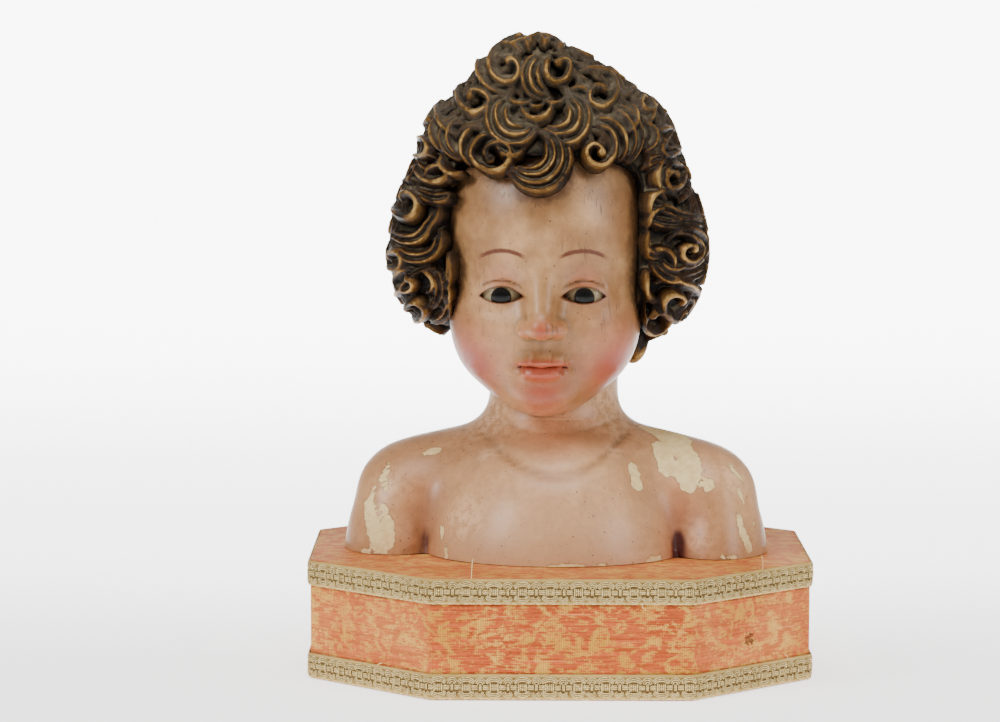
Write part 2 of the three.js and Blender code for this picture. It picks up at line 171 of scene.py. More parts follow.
def neck(p):
    """A leaning column that flares at its foot, with two soft creases under the chin."""
    z = p[..., 2]
    radius = NECK_RADIUS + 1.2 * np.maximum(0, (150 - z) / 14) ** 1.6
    x, y = p[..., 0] - NECK_X, p[..., 1] - NECK_Y - NECK_LEAN * (z - 120) / 60
    sag = z - 0.006 * x * x
    creases = 1.3 * bell(sag - 128, 1.5) + 1.0 * bell(sag - 121.5, 1.4)
    d = np.hypot(x, y) - radius + smooth(-y, 5, 30) * creases
    return -join(-d, NECK_HALF - np.abs(z - NECK_MIDDLE), 10)


def body(p):
    """The shoulders and neck, with a shallow crease where the neck meets the chest."""
    d = join(torso(p), neck(p), 14)
    x, y = p[..., 0] - NECK_X, p[..., 1] - NECK_Y
    ring = p[..., 2] - 109 - 0.012 * x * x
    return d + 1.4 * bell(ring, 2.4) * smooth(-y, 15, 35)


def skull(q):
    """The cranium, the face's long oval, the cheeks and the jaw's front, in the head's frame."""
    side = mirrored(q)
    d = ellipsoid(q, (0, 2, 8), (64, 77, 70))
    d = join(d, ellipsoid(q, (0, -22, -42), (47, 50, 50)), 20)
    d = join(d, ellipsoid(side, (22, -37, -48), (26, 27, 28)), 14)
    return join(d, ellipsoid(q, (0, -44, -74), (22, 25, 18)), 16)


def lid_edges(x):
    """Heights of the lids' edges over an eye's middle: two arcs of circles that meet at the corners."""
    up = (SLIT_HALF**2 + SLIT_UP**2) / (2 * SLIT_UP)
    down = (SLIT_HALF**2 + SLIT_DOWN**2) / (2 * SLIT_DOWN)
    upper = np.sqrt(np.maximum(up**2 - x**2, 0)) - up + SLIT_UP
    lower = down - SLIT_DOWN - np.sqrt(np.maximum(down**2 - x**2, 0))
    return upper, lower


def mouth_line(x):
    """The height of the line between the lips: a low bow with a dip at the middle."""
    return MOUTH_Z - 0.3 - 0.7 * bell(x, 3) + 0.5 * bell(np.abs(x) - 6, 4)


def head(p):
    """The skull with sockets, lids, nose, lips and chin, all of plain blended forms."""
    q = local(p, HEAD_AT, HEAD_TURN)
    side = mirrored(q)
    x, y, z = q[..., 0], q[..., 1], q[..., 2]
    d = skull(q)
    d = carve(d, ellipsoid(side, (EYE_X, -80, EYE_Z + 2), (16, 14, 11)), 10)
    d = join(d, ellipsoid(side, (EYE_X, EYE_Y, EYE_Z), [EYE_RADIUS + LID_THICK] * 3), 3)
    d = join(d, rod(q, (0, -68, BROW_Z - 8), (0, -78, NOSE_Z + 8), 6), 9)
    d = join(d, ellipsoid(q, (0, -79, NOSE_Z + 5), (7.5, 7.5, 6.5)), 4)
    d = join(d, ellipsoid(side, (8.5, -73, NOSE_Z + 4), (5, 6, 4.6)), 3)
    d = join(d, ellipsoid(side, (4.5, -71.5, MOUTH_Z + 2.8), (10, 5.5, 3.4)), 3)
    d = join(d, ellipsoid(q, (0, -71, MOUTH_Z - 3.2), (11, 6, 4)), 3)
    d = join(d, ellipsoid(q, (0, -61, CHIN_Z + 12), (13, 11, 11)), 8)
    d = carve(d, ellipsoid(side, (4.3, -77, NOSE_Z - 1), (2.4, 3.4, 2)), 1.5)
    front = smooth(-y, 30, 50)
    across = side[..., 0] - EYE_X
    fold = bell(z - EYE_Z - lid_edges(across * 0.9)[0] - 3.4, 0.8) * smooth(12.5 - np.abs(across), 0, 4)
    lips = bell(z - mouth_line(x), 0.9) * smooth(14.5 - np.abs(x), 0, 4)
    philtrum = bell(x, 2.2) * smooth(z - MOUTH_Z, 4.5, 7) * smooth(NOSE_Z - z, 0, 3)
    corners = bell(side[..., 0] - 14, 2.5) * bell(z - MOUTH_Z, 2.5)
    return d + front * (1.3 * fold + 1.8 * lips + 0.7 * philtrum + corners)


def hair_mass(p):
    """The hair under its locks: crown, upper sides, a swelling at each ear, a heavy nape and a knot in front."""
    q = local(p, HEAD_AT, HEAD_TURN)
    side = mirrored(q)
    d = ellipsoid(q, (0, 3, 8), (76, 84, 80))
    d = join(d, ellipsoid(side, (28, -6, 54), (33, 50, 24)), 16)
    d = join(d, ellipsoid(side, (52, 4, -10), (29, 50, 40)), 16)
    d = join(d, ellipsoid(side, (56, -20, -6), (24, 30, 36)), 12)
    d = join(d, ellipsoid(q, (0, 38, -14), (68, 50, 46)), 24)
    d = join(d, ellipsoid(q, (-23, -16, 80), (17, 30, 19)), 12)
    d = join(d, ellipsoid(q, (17, -16, 76), (18, 30, 19)), 12)
    return join(d, ellipsoid(q, (-6, -20, 85), (21, 28, 22)), 12)


def hair_ground(p):
    """The ground between the locks, cut at the nape."""
    return np.maximum(hair_mass(p) + HAIR_GROUND, NAPE_Z - local(p, HEAD_AT, HEAD_TURN)[..., 2])


def face_opening(p):
    """What the ground is cut by over the face: flat over the brow, round at the temples, wider towards the front."""
    q = local(p, HEAD_AT, HEAD_TURN)
    x, y, z = q[..., 0], q[..., 1], q[..., 2]
    flare = 0.55 * np.maximum(-45 - y, 0)
    sides, top = np.abs(x) - TEMPLE_X - flare, z - HAIRLINE_Z - 0.5 * flare
    return np.maximum(-join(-sides, -top, 14), np.maximum(y + 12, -130 - y))


def reach(form, start, ray, longest=160.0):
    """How far each ray goes inside a form before it leaves it, by halving the stretch that it lies in."""
    near = np.zeros(ray.shape[:-1])
    far = np.full(ray.shape[:-1], longest)
    for _ in range(18):
        middle = (near + far) / 2
        inside = form(start + ray * middle[..., None]) < 0
        near, far = np.where(inside, middle, near), np.where(inside, far, middle)
    return near


def outward(form, p, step=0.5):
    """The direction in which a form's distance grows, from differences across a millimetre."""
    shift = np.eye(3) * step
    return unit(np.stack([form(p + s) - form(p - s) for s in shift], -1))


# Meshes


def closed_tube(rings, foot=None, top=None):
    """Vertices and faces of a grid of closed rings, with a fan to a point at each end.

    Quad (i, j) joins ring i to ring i + 1; the end points are the end rings' means where none is given.
    """
    rows, columns = rings.shape[:2]
    foot = rings[0].mean(0) if foot is None else foot
    top = rings[-1].mean(0) if top is None else top
    i, j = np.meshgrid(np.arange(rows - 1), np.arange(columns), indexing="ij")
    k = (j + 1) % columns
    quads = np.stack([i * columns + j, i * columns + k, (i + 1) * columns + k, (i + 1) * columns + j], -1)
    ring = np.arange(columns)
    after, last = (ring + 1) % columns, (rows - 1) * columns
    ends = [
        np.stack([after, ring, np.full(columns, rows * columns)], -1),
        np.stack([last + ring, last + after, np.full(columns, rows * columns + 1)], -1),
    ]
    triangles = np.concatenate(ends)
    return np.concatenate([rings.reshape(-1, 3), [foot, top]]), quads.reshape(-1, 4), triangles


def gathered(parts):
    """Several (vertices, quads, triangles) as one."""
    counts = np.cumsum([0] + [len(v) for v, _, _ in parts])[:-1]
    verts = np.concatenate([v for v, _, _ in parts])
    quads = np.concatenate([q + n for (_, q, _), n in zip(parts, counts)])
    triangles = np.concatenate([t + n for (_, _, t), n in zip(parts, counts)])
    return verts, quads, triangles


def mesh_object(name, verts, quads, triangles):
    """A mesh object in metres from points in millimetres, its faces turned to point outwards."""
    loops = np.concatenate([quads.ravel(), triangles.ravel()]).astype(np.int32)
    sizes = np.concatenate([np.full(len(quads), 4), np.full(len(triangles), 3)]).astype(np.int32)
    mesh = bpy.data.meshes.new(name)
    mesh.vertices.add(len(verts))
    mesh.vertices.foreach_set("co", (verts * MM).ravel().astype(np.float32))
    mesh.loops.add(len(loops))
    mesh.loops.foreach_set("vertex_index", loops)
    mesh.polygons.add(len(sizes))
    mesh.polygons.foreach_set("loop_start", np.cumsum(sizes, dtype=np.int32) - sizes)
    mesh.update(calc_edges=True)
    mesh.validate()
    if volume(verts, quads, triangles) < 0:
        mesh.flip_normals()
    made = bpy.data.objects.new(name, mesh)
    bpy.context.scene.collection.objects.link(made)
    return made


def volume(verts, quads, triangles):
    """A sixth of the sum of a . (b x c) over the triangles."""
    halves = [quads[:, [0, 1, 2]], quads[:, [0, 2, 3]]] if len(quads) else []
    a, b, c = (verts[np.concatenate(halves + [triangles])[:, k]] for k in range(3))
    return (a * np.cross(b, c)).sum() / 6


def modified(made, kind, **settings):
    """The object with one modifier put on and applied."""
    modifier = made.modifiers.new(kind.title(), kind)
    for name, value in settings.items():
        setattr(modifier, name, value)
    graph = bpy.context.evaluated_depsgraph_get()
    graph.update()
    mesh = bpy.data.meshes.new_from_object(made.evaluated_get(graph), depsgraph=graph)
    made.modifiers.clear()
    old, made.data = made.data, mesh
    mesh.name = made.name
    bpy.data.meshes.remove(old)
    return made


def combined(made, other, operation):
    """The object joined with another, or cut by it; the other is used up."""
    modified(made, "BOOLEAN", object=other, operation=operation, solver="MANIFOLD", material_mode="TRANSFER")
    bpy.data.objects.remove(other)
    if not len(made.data.polygons):
        raise RuntimeError(f"{made.name} came out empty")
    return made


def coordinates(mesh):
    """A mesh's vertices in millimetres."""
    out = np.empty(len(mesh.vertices) * 3, np.float32)
    mesh.vertices.foreach_get("co", out)
    return out.reshape(-1, 3).astype(float) / MM


def set_values(mesh, name, values):
    """Stores one number for each vertex under a name that a material reads."""
    layer = mesh.attributes.new(name, "FLOAT", "POINT")
    layer.data.foreach_set("value", np.asarray(values, np.float32))


def hollowness(mesh, rounds):
    """How far each vertex lies under the surface once its neighbours are averaged, many rounds over."""
    points, normals = coordinates(mesh), np.empty(len(mesh.vertices) * 3, np.float32)
    mesh.vertices.foreach_get("normal", normals)
    edges = np.empty(len(mesh.edges) * 2, np.int32)
    mesh.edges.foreach_get("vertices", edges)
    a, b = edges.reshape(-1, 2).T
    count, mean = len(points), points.copy()
    ends, others = np.concatenate([a, b]), np.concatenate([b, a])
    share = np.maximum(np.bincount(ends, minlength=count), 1)
    for _ in range(rounds):
        total = [np.bincount(ends, mean[others, k], count) for k in range(3)]
        mean = 0.5 * mean + 0.5 * np.stack(total, -1) / share[:, None]
    return ((mean - points) * normals.reshape(-1, 3)).sum(-1)


# The bust's flesh


def column_angles(columns):
    """pi (w/2 + w^3/2) for w from -1 to 1: columns stand closer together in front, where angle 0 looks."""
    w = np.linspace(-1, 1, columns, endpoint=False)
    return np.pi * (w / 2 + w**3 / 2)


# Height, half length and the rays' rise for the spine from which the shoulders' rays fan out
SPINE = np.array(
    [
        (BUST_FOOT, 78, 0),
        (78, 76, 0),
        (90, 70, 12),
        (98, 56, 34),
        (106, 36, 45),
        (113, 8, 42),
        (128, 0, 14),
        (150, 0, 0),
        (178, 0, 0),
    ]
)


def body_surface(columns, rows):
    """Rays fan out from a spine as long as the shoulders at the foot, shrinking to the neck's middle."""
    v = np.linspace(0, len(SPINE) - 1, rows)
    z, half, rise = (np.interp(v, np.arange(len(SPINE)), s)[:, None] for s in SPINE.T)
    angle = column_angles(columns)[None, :]
    wide = np.minimum(1, half / 30)
    flat = wide * np.arctan2(np.sin(angle) ** 3, np.cos(angle)) + (1 - wide) * angle
    zeros = np.zeros_like(flat)
    start = np.stack([TORSO_AT[0] + half * np.sin(angle), TORSO_AT[1] + 3 + zeros, z + zeros], -1)
    level, lift = np.cos(np.radians(rise)), np.sin(np.radians(rise))
    ray = np.stack([level * np.sin(flat), -level * np.cos(flat), lift + zeros], -1)
    rings = start + ray * reach(body, start, ray)[..., None]
    foot = (TORSO_AT[0], TORSO_AT[1] + 3, BUST_FOOT)
    return closed_tube(rings, foot, (TORSO_AT[0], TORSO_AT[1] + 3, SPINE[-1][0]))


def star_surface(form, centre, columns, rises):
    """A form seen from a point within it: one ray for each column angle and rise, and one at each pole."""
    angle, rise = np.meshgrid(column_angles(columns), rises)
    ray = np.stack([np.cos(rise) * np.sin(angle), -np.cos(rise) * np.cos(angle), np.sin(rise)], -1)
    rings = centre + ray * reach(form, centre, ray)[..., None]
    poles = np.array([(0, 0, -1.0), (0, 0, 1.0)])
    foot, top = centre + poles * reach(form, centre, poles)[:, None]
    return closed_tube(rings, foot, top)


def face_rises(rows):
    """-17 + 62 w + 32 w^3 degrees: rows stand closer together over the face."""
    w = np.linspace(-0.84, 1.12, rows)
    return np.radians(-17 + 62 * w + 32 * w**3)


def eye_opening(x):
    """A closed cutter for the almond between the lids, flaring towards the front by a millimetre."""
    angle = np.linspace(0, 2 * np.pi, 56, endpoint=False)
    rings = []
    for y, grow in ((-EYE_RADIUS * 0.35, 0), (-EYE_RADIUS - 0.6, 0), (-EYE_RADIUS - 3, 1), (-EYE_RADIUS - 9, 3)):
        across = np.cos(angle) * SLIT_HALF
        upper, lower = lid_edges(across)
        height = np.where(np.sin(angle) > 0, upper, lower) + np.sin(angle) * (0.02 + grow)
        rings.append(np.stack([across * (1 + grow / SLIT_HALF), np.full_like(across, y), height], -1))
    verts, quads, triangles = closed_tube(np.array(rings))
    return placed(verts + (x, EYE_Y, EYE_Z), HEAD_AT, HEAD_TURN), quads, triangles


def ball(centre, radius, columns=40, rows=22):
    """Points at a radius all round a centre; the radius may be three, one for each axis."""
    angle = np.linspace(0, 2 * np.pi, columns, endpoint=False)[None, :]
    rise = np.linspace(-np.pi / 2, np.pi / 2, rows + 2)[1:-1, None]
    ones = np.ones((rows, columns))
    ray = np.stack([np.cos(rise) * np.cos(angle), np.cos(rise) * np.sin(angle), np.sin(rise) * ones], -1)
    poles = np.array([(0, 0, -1.0), (0, 0, 1.0)]) * radius
    return closed_tube(ray * radius + centre, *(np.array(centre) + poles))


def eye_middle(x):
    return placed(np.array((x, EYE_Y, EYE_Z), float), HEAD_AT, HEAD_TURN)


# The hair's locks as seen from the front, in millimetres: the middle's x and z from the head's centre, radii from
# root to tip, first and last angle, counter-clockwise, then width, strands, and the radius of the bud at the tip.
FRONT_LOCKS = (
    # The knot over the forehead
    ((-21, 92), (10, 10, 9.6, 9, 8, 6.4, 4.4, 2.4), (45, 430), 6.2, 1, 3.0),
    ((-22, 91), (14.5, 14, 13), (120, 262), 5.4, 1, 0),
    ((-5, 90), (19.5, 20), (75, 15), 6.4, 2, 0),
    ((-14, 92), (15, 14), (165, 60), 6.4, 2, 0),
    ((5, 91), (7.6, 7.6, 6.6, 4.6, 2.8), (120, 480), 5.4, 1, 2.4),
    ((0, 87), (11, 10, 10), (112, 268), 11.5, 3, 0),
    ((-14, 101), (3.2, 3), (210, -20), 4.4, 1, 0),
    ((-6.5, 103), (3.4, 3.2), (200, -20), 4.4, 1, 0),
    ((1, 102.5), (3.4, 3.2), (200, -30), 4.4, 1, 0),
    ((8.5, 100), (3.2, 3), (190, -40), 4.4, 1, 0),
    # The rows below it
    ((-38, 75), (9.5, 9, 8.5, 7, 4, 1.8), (95, 520), 6.2, 1, 3.2),
    ((26, 78), (15.4, 10.5, 8.2, 8.2, 8.5, 6.9, 4.7, 3.4, 2.1), (136, -300), 6.2, 1, 2.8),
    ((24, 77), (17.5, 15.5, 14.5, 13), (125, -20), 6.0, 2, 0),
    ((15, 75), (5.6, 5.6), (140, -20), 4.6, 1, 0),
    ((-7, 72), (8.4, 8.4), (168, 390), 5.2, 1, 0),
    ((-7, 74), (4.0, 4.0), (190, 350), 3.6, 1, 0),
    ((-17, 66), (10.5, 11, 10), (112, 322), 14.5, 3, 0),
    ((5, 66), (10.5, 11, 10), (72, -140), 14.5, 3, 0),
    # The fringe
    ((-29, 45), (10.6, 11.8, 11, 7.7, 7.4, 8.2, 9.4, 6.8, 5, 3.6, 2), (70, 590), 5.6, 1, 2.9),
    ((-32, 50), (13, 13), (128, 225), 5.4, 1, 0),
    ((-8, 45), (13.5, 12.5, 11.7, 11.2, 12), (72, -152), 16, 4, 0),
    ((25, 46), (15.4, 14, 9, 6.4, 5.8, 5.3, 5.6, 6.4, 6, 3.8, 2), (108, -330), 5.4, 1, 2.7),
    ((26, 51), (13.3, 13.3), (104, -35), 5.2, 1, 0),
    ((29, 54), (17, 16.5), (80, -45), 7.6, 2, 0),
    ((-42, 55), (11.7, 12), (125, 250), 7.5, 2, 0),
    ((-49, 57), (11, 11.5), (130, 238), 6.0, 1, 0),
    ((-46, 68), (12, 12), (150, 262), 6.0, 1, 0),
    # The upper side to the viewer's right
    ((48, 62), (17, 16), (140, 20), 7.0, 2, 0),
    ((46, 68), (9, 8), (95, -60), 5.4, 1, 0),
    ((44, 82), (8, 7), (95, -60), 5.4, 1, 0),
    ((51, 72), (7, 6, 4, 2), (120, -230), 5.0, 1, 2.6),
    ((57, 60), (8, 8), (100, -60), 5.4, 1, 0),
    ((48, 55), (7, 7), (80, -75), 5.2, 1, 0),
    ((38, 90), (8, 8), (110, -30), 5.4, 1, 0),
    ((61, 50), (9, 8, 5, 2.5), (130, -220), 5.6, 1, 2.8),
    ((64, 64), (7, 7), (100, -50), 5.2, 1, 0),
    # The side to the viewer's right, from the top
    ((65, 32), (20.2, 15.3, 12.3, 11.4, 11.6), (155, -75), 5.8, 2, 0),
    ((65, 32), (12, 7.5, 5.9, 5.3, 4.9, 4, 2), (153, -300), 5.2, 1, 2.8),
    ((67, 34), (19.2, 18.5, 18.7, 22, 26), (212, 305), 6.8, 2, 0),
    ((65, 32), (23, 23, 23.5), (230, 300), 6.6, 2, 0),
    ((74, -5), (21, 14.7, 13.8, 12.8, 13.3, 13.3, 16), (148, -150), 6.8, 2, 0),
    ((74, -5), (13, 5.8, 5.6, 5.8, 5, 3, 1.8), (150, -320), 5.4, 1, 3.0),
    ((69, -2), (17, 18), (206, 292), 7.0, 2, 0),
    ((68, -32), (16, 11, 10.6, 9.5, 9, 8.5, 7, 4, 2), (140, -330), 6.8, 1, 3.0),
    ((56, -40), (14, 6.5, 7.5, 8, 7.4, 7.8, 4.5, 2.5), (118, 470), 6.4, 1, 2.8),
    ((66, -18), (17, 17), (165, 236), 6.5, 2, 0),
    # The side to the viewer's left, from the top
    ((-68, 50), (11.7, 7.6, 7, 6.9, 6, 4, 2), (74, 480), 5.8, 1, 3.4),
    ((-61, 41), (10.6, 10.6), (190, 345), 5.8, 1, 0),
    ((-63, 41), (4, 4), (20, 340), 3.8, 1, 0),
    ((-60, 40), (17.8, 17.5), (306, 232), 7.4, 2, 0),
    ((-75, 20), (11.2, 8.5, 8, 8.5, 9, 6.5, 4, 2), (46, 470), 6.4, 1, 3.2),
    ((-76, 13), (20, 14, 13.8, 12.5, 12), (24, -138), 7.6, 2, 0),
    ((-73, 3), (16, 15.5, 12.5, 10.5, 13.5), (12, -155), 8.0, 2, 0),
    ((-81, -10), (7, 6, 4, 2), (170, 520), 5.8, 1, 2.8),
    ((-74, -22), (6.5, 6, 4, 2), (70, 430), 5.4, 1, 2.6),
    ((-72, -37), (26, 12, 8, 7.3, 6.2, 7, 7.4, 5.5, 3.5, 2), (62, 520), 6.2, 1, 2.9),
    ((-64, -32), (12, 12), (55, -85), 6.6, 2, 0),
    ((-66, -14), (15, 15), (35, -45), 6.0, 2, 0),
    # Strands under the side curls, from the edge of the face
    ((70, 33), (15.5, 14), (110, 235), 5.4, 1, 0),
    ((70, 33), (10, 9.5), (95, 255), 4.8, 1, 0),
    ((57, 36), (8, 7), (165, 20), 6.4, 2, 0),
    ((60, 17), (10, 9), (200, 75), 6.0, 1, 0),
    ((59, 9), (8.5, 8), (195, 60), 5.6, 1, 0),
    ((57, 0), (7.5, 7), (120, 290), 6.4, 2, 0),
    ((58, -11), (7.5, 7), (130, -50), 5.6, 1, 0),
    ((56, -22), (7.5, 7), (110, 270), 6.0, 1, 0),
    ((72, -4), (10.5, 9.5), (175, -140), 5.0, 1, 0),
    ((66, -6), (8, 8), (190, 330), 4.8, 1, 0),
    ((-49, 42), (7, 6.5), (140, 310), 5.2, 1, 0),
    ((-57, 33), (6.5, 6), (40, 215), 5.2, 1, 0),
    ((-58, -16), (7.5, 7), (60, -110), 6.4, 2, 0),
    ((-57, -28), (7.5, 7), (70, -90), 5.6, 1, 0),
    ((-73, -24), (16, 16), (35, -50), 6.4, 2, 0),
    ((-66, -22), (5.5, 5.5), (100, -80), 5.0, 1, 0),
    # The upper side to the viewer's left
    ((-51, 72), (9, 9), (120, 250), 6.0, 1, 0),
    ((-55, 84), (9, 9), (100, 230), 5.6, 1, 0),
    ((-59, 64), (8, 8), (110, 240), 5.6, 1, 0),
    ((-43, 84), (8, 8), (100, 250), 5.6, 1, 0),
    ((-65, 65), (7, 6, 4, 2), (80, 430), 5.4, 1, 2.8),
    # Fillers between them
    ((-20, 52), (7, 7), (150, 330), 5.0, 1, 0),
    ((3, 78), (6, 6), (200, 350), 4.6, 1, 0),
    ((-15, 79), (7, 7), (200, 330), 5.0, 1, 0),
    ((37, 65), (8, 8), (60, -90), 5.6, 1, 0),
)

# Azimuths of the curls that hang over the nape's edge, in degrees from the front
NAPE_TIPS = (-150, -128, -105, 95, 113, 132, 150, 168, -168)


def aim(azimuth, rise):
    """The direction at an azimuth from -Y towards +X and a rise, both in degrees."""
    a, e = np.radians(azimuth), np.radians(rise)
    return np.array((np.cos(e) * np.sin(a), -np.cos(e) * np.cos(a), np.sin(e)))


def on_mass(toward):
    """Where rays from the hair's centre towards some points leave the mass."""
    ray = unit(toward - HAIR_CENTRE)
    return HAIR_CENTRE + ray * reach(hair_mass, HAIR_CENTRE, ray)[..., None]


def behind(x, z):
    """Points of the mass that lie behind x and z as seen from the front, or near them where it turns away.

    Each round adds the step (dx, -(n_x dx + n_z dz) / n_y, dz) along the surface for what is missing, with
    the slope held down by n_y <= -0.4.
    """
    at = on_mass(np.stack([x, np.full_like(x, HAIR_CENTRE[1] - 55), z], -1))
    for _ in range(5):
        normal = outward(hair_mass, at)
        dx, dz = x - at[..., 0], z - at[..., 2]
        dy = -(normal[..., 0] * dx + normal[..., 2] * dz) / np.minimum(normal[..., 1], -0.4)
        at = on_mass(at + np.stack([dx, dy, dz], -1))
    return at


def across_disc(azimuth, rise):
    """A way of laying a disc on the mass at a direction: u runs level and v upwards, in millimetres."""
    out = aim(azimuth, rise)
    right = unit(np.cross((0, 0, 1), out))
    up = np.cross(out, right)
    middle = on_mass(HAIR_CENTRE + out)
    return lambda u, v: on_mass(middle + u[..., None] * right + v[..., None] * up)


def in_front(x, z):
    """The same at a place seen from the front. A side lock is squeezed to a quarter where it would cross the face."""
    side = np.sign(x) if abs(x) > TEMPLE_X + 3 else 0

    def lay(u, v):
        over = np.maximum(TEMPLE_X + 3 - side * (x + u), 0) * abs(side)
        return behind(HAIR_CENTRE[0] + x + u + 0.75 * side * over, HAIR_CENTRE[2] + z + v)

    return lay


def lock_path(lay, radii, angles, curls):
    """A spiral r(t) (cos a(t), sin a(t)) laid on the mass: its points, and at each the way across and outwards."""
    start, end = angles
    t = np.linspace(0, 1, max(9, int(abs(end - start) / 7)))
    angle = np.radians(start + (end - start) * t)
    radius = np.interp(t, np.linspace(0, 1, len(radii)), radii)
    inner, outer = (lay((radius + s) * np.cos(angle), (radius + s) * np.sin(angle)) for s in (-1.2, 1.2))
    at, across = (inner + outer) / 2, (outer - inner) / 2.4
    size = np.linalg.norm(across, axis=-1, keepdims=True)
    across = across * np.clip(size, 0.8, 1.9) / np.maximum(size, 1e-6)
    lift = outward(hair_mass, at)
    lift = unit(lift + np.array((0, -0.35, 0)) * smooth(-lift[:, 1:2], -0.2, 0.3))
    if curls:
        at = at + lift * (1.5 * t**2)[:, None]
    return t, at, across, lift


def lock_surface(lay, radii, angles, width, strands, bud, high=1.0):
    """A gouge-cut ridge carried along a lock's path: (1 - |s|^2.6)^0.6 (1 - 0.66 |cos(pi n (s + 1)/2)|^2.2)
    over s from -1 to 1, with n round strands and narrow cuts between them.
    """
    t, at, across, lift = lock_path(lay, radii, angles, bud > 0)
    taper = 1 - 0.22 * t if bud else np.sin(np.pi * (0.1 + 0.82 * t)) ** 0.6
    taper = taper * (0.35 + 0.65 * smooth(t, -0.02, 0.14))
    s = np.linspace(-1, 1, 6 * strands + 5)
    groove = np.abs(np.cos(np.pi * strands * (s + 1) / 2)) ** 2.2
    height = high * (2.8 + 0.4 * width / strands**0.5) * (1 - np.abs(s) ** 2.6) ** 0.6 * (1 - 0.66 * groove)
    section = np.concatenate([np.stack([s, height], -1), [(1.0, -6), (-1.0, -6)]])
    side = section[None, :, :1] * (0.5 * width * taper)[:, None, None]
    rise = np.where(section[:, 1] > 0, section[:, 1] * taper[:, None], section[:, 1])[..., None]
    rings = at[:, None] + side * across[:, None] + rise * lift[:, None]
    parts = [closed_tube(rings)]
    if bud:
        parts.append(ball(at[-1] + lift[-1] * 0.4 * bud, bud, 14, 8))
    return parts


def free_places(count, taken, spacing):
    """Even points on a sphere that lie on the hair, clear of the face and of the places already taken.

    Point i of n has rise asin(1 - (2i + 1)/n) and turns by the golden angle; it stays where the mass's
    surface there is over the nape, outside the face's opening and at the spacing from every taken point.
    """
    i = np.arange(count)
    rise = np.arcsin(1 - (2 * i + 1) / count)
    azimuth = (i * np.pi * (3 - 5**0.5) + np.pi) % (2 * np.pi) - np.pi
    ray = np.stack([np.cos(rise) * np.sin(azimuth), -np.cos(rise) * np.cos(azimuth), np.sin(rise)], -1)
    at = on_mass(HAIR_CENTRE + ray)
    q = local(at, HEAD_AT, HEAD_TURN)
    face = (np.abs(q[:, 0]) < TEMPLE_X + 6) & (q[:, 2] < HAIRLINE_Z + 2) & (q[:, 1] < 0)
    gap = np.linalg.norm(at[:, None] - taken[:, :3][None], axis=-1) - taken[:, 3][None]
    free = ~face & (q[:, 2] > NAPE_Z + 6) & (gap.min(1) > spacing)
    return at[free], np.degrees(azimuth[free]), np.degrees(rise[free])


def all_locks(rng):
    """The front locks as they are cut, then snails over the sides, crown and back, then short strokes between."""
    parts, taken = [], []
    for place, radii, angles, width, strands, bud in FRONT_LOCKS:
        lay = in_front(*place)
        parts += lock_surface(lay, radii, angles, 1.15 * width, strands, bud, 1.05)
        taken.append((*lay(np.zeros(1), np.zeros(1))[0], np.median(radii)))
    in_front_taken = len(taken)
    for azimuth in NAPE_TIPS:
        hand = 1 if azimuth > 0 else -1
        lay = across_disc(azimuth, rng.uniform(-41, -36))
        parts += lock_surface(lay, (9, 8, 7, 5, 3), (90, 90 - hand * 300), 6.4, 2, 2.8)
        taken.append((*lay(np.zeros(1), np.zeros(1))[0], 8))
    snails = free_places(SNAILS, np.array(taken), SNAIL_RADIUS * 0.95)
    for k, (at, azimuth, rise) in enumerate(zip(*snails)):
        size, start, hand = rng.uniform(0.85, 1.12), rng.uniform(0, 360), (-1) ** (k + int(azimuth > 0))
        radii = tuple(SNAIL_RADIUS * size * r for r in (1.3, 1.1, 0.95, 0.8, 0.55, 0.35, 0.2))
        angles = (start, start + hand * 430)
        parts += lock_surface(across_disc(azimuth, rise), radii, angles, 6.2 * size, 1, 2.5 * size)
        taken.append((*at, SNAIL_RADIUS * 0.9 * size))
    taken = np.array(taken)
    taken[:in_front_taken, 3] *= 0.45
    strokes = free_places(STROKES, taken, -2.0)
    for at, azimuth, rise in zip(*strokes):
        if abs(azimuth) < 60 and at[2] < HEAD_AT[2] + HAIRLINE_Z + 8:
            continue
        size = rng.uniform(0.85, 1.2)
        sway = 38 * np.sin(np.radians(4 * azimuth)) + 30 * np.cos(np.radians(5 * rise)) + rng.uniform(-12, 12)
        middle = (15 if azimuth > 0 else 165) + sway
        radii, angles = (9 * size, 9.5 * size), (middle + 62, middle - 62)
        parts += lock_surface(across_disc(azimuth, rise), radii, angles, STROKE_WIDTH * size, 1, 0, 0.55)
    return parts


def wisp():
    """A tuft that hangs behind the neck: r (1 - (2t - 1)^2)^0.5 round a leaning line, with three shallow flutes."""
    t = np.linspace(0.01, 0.99, 15)[:, None]
    turn = np.linspace(0, 2 * np.pi, 24, endpoint=False)
    radius = 6.4 * np.sqrt(1 - (2 * t - 1) ** 4) * (1 + 0.1 * np.cos(5 * turn + 2.5 * t))
    x = 53 - 7 * t + radius * np.cos(turn)
    y = 13 + 3 * t + radius * np.sin(turn)
    rings = placed(np.stack([x, y, -36 - 35 * t + 0 * turn], -1), HEAD_AT, HEAD_TURN)
    return closed_tube(rings)


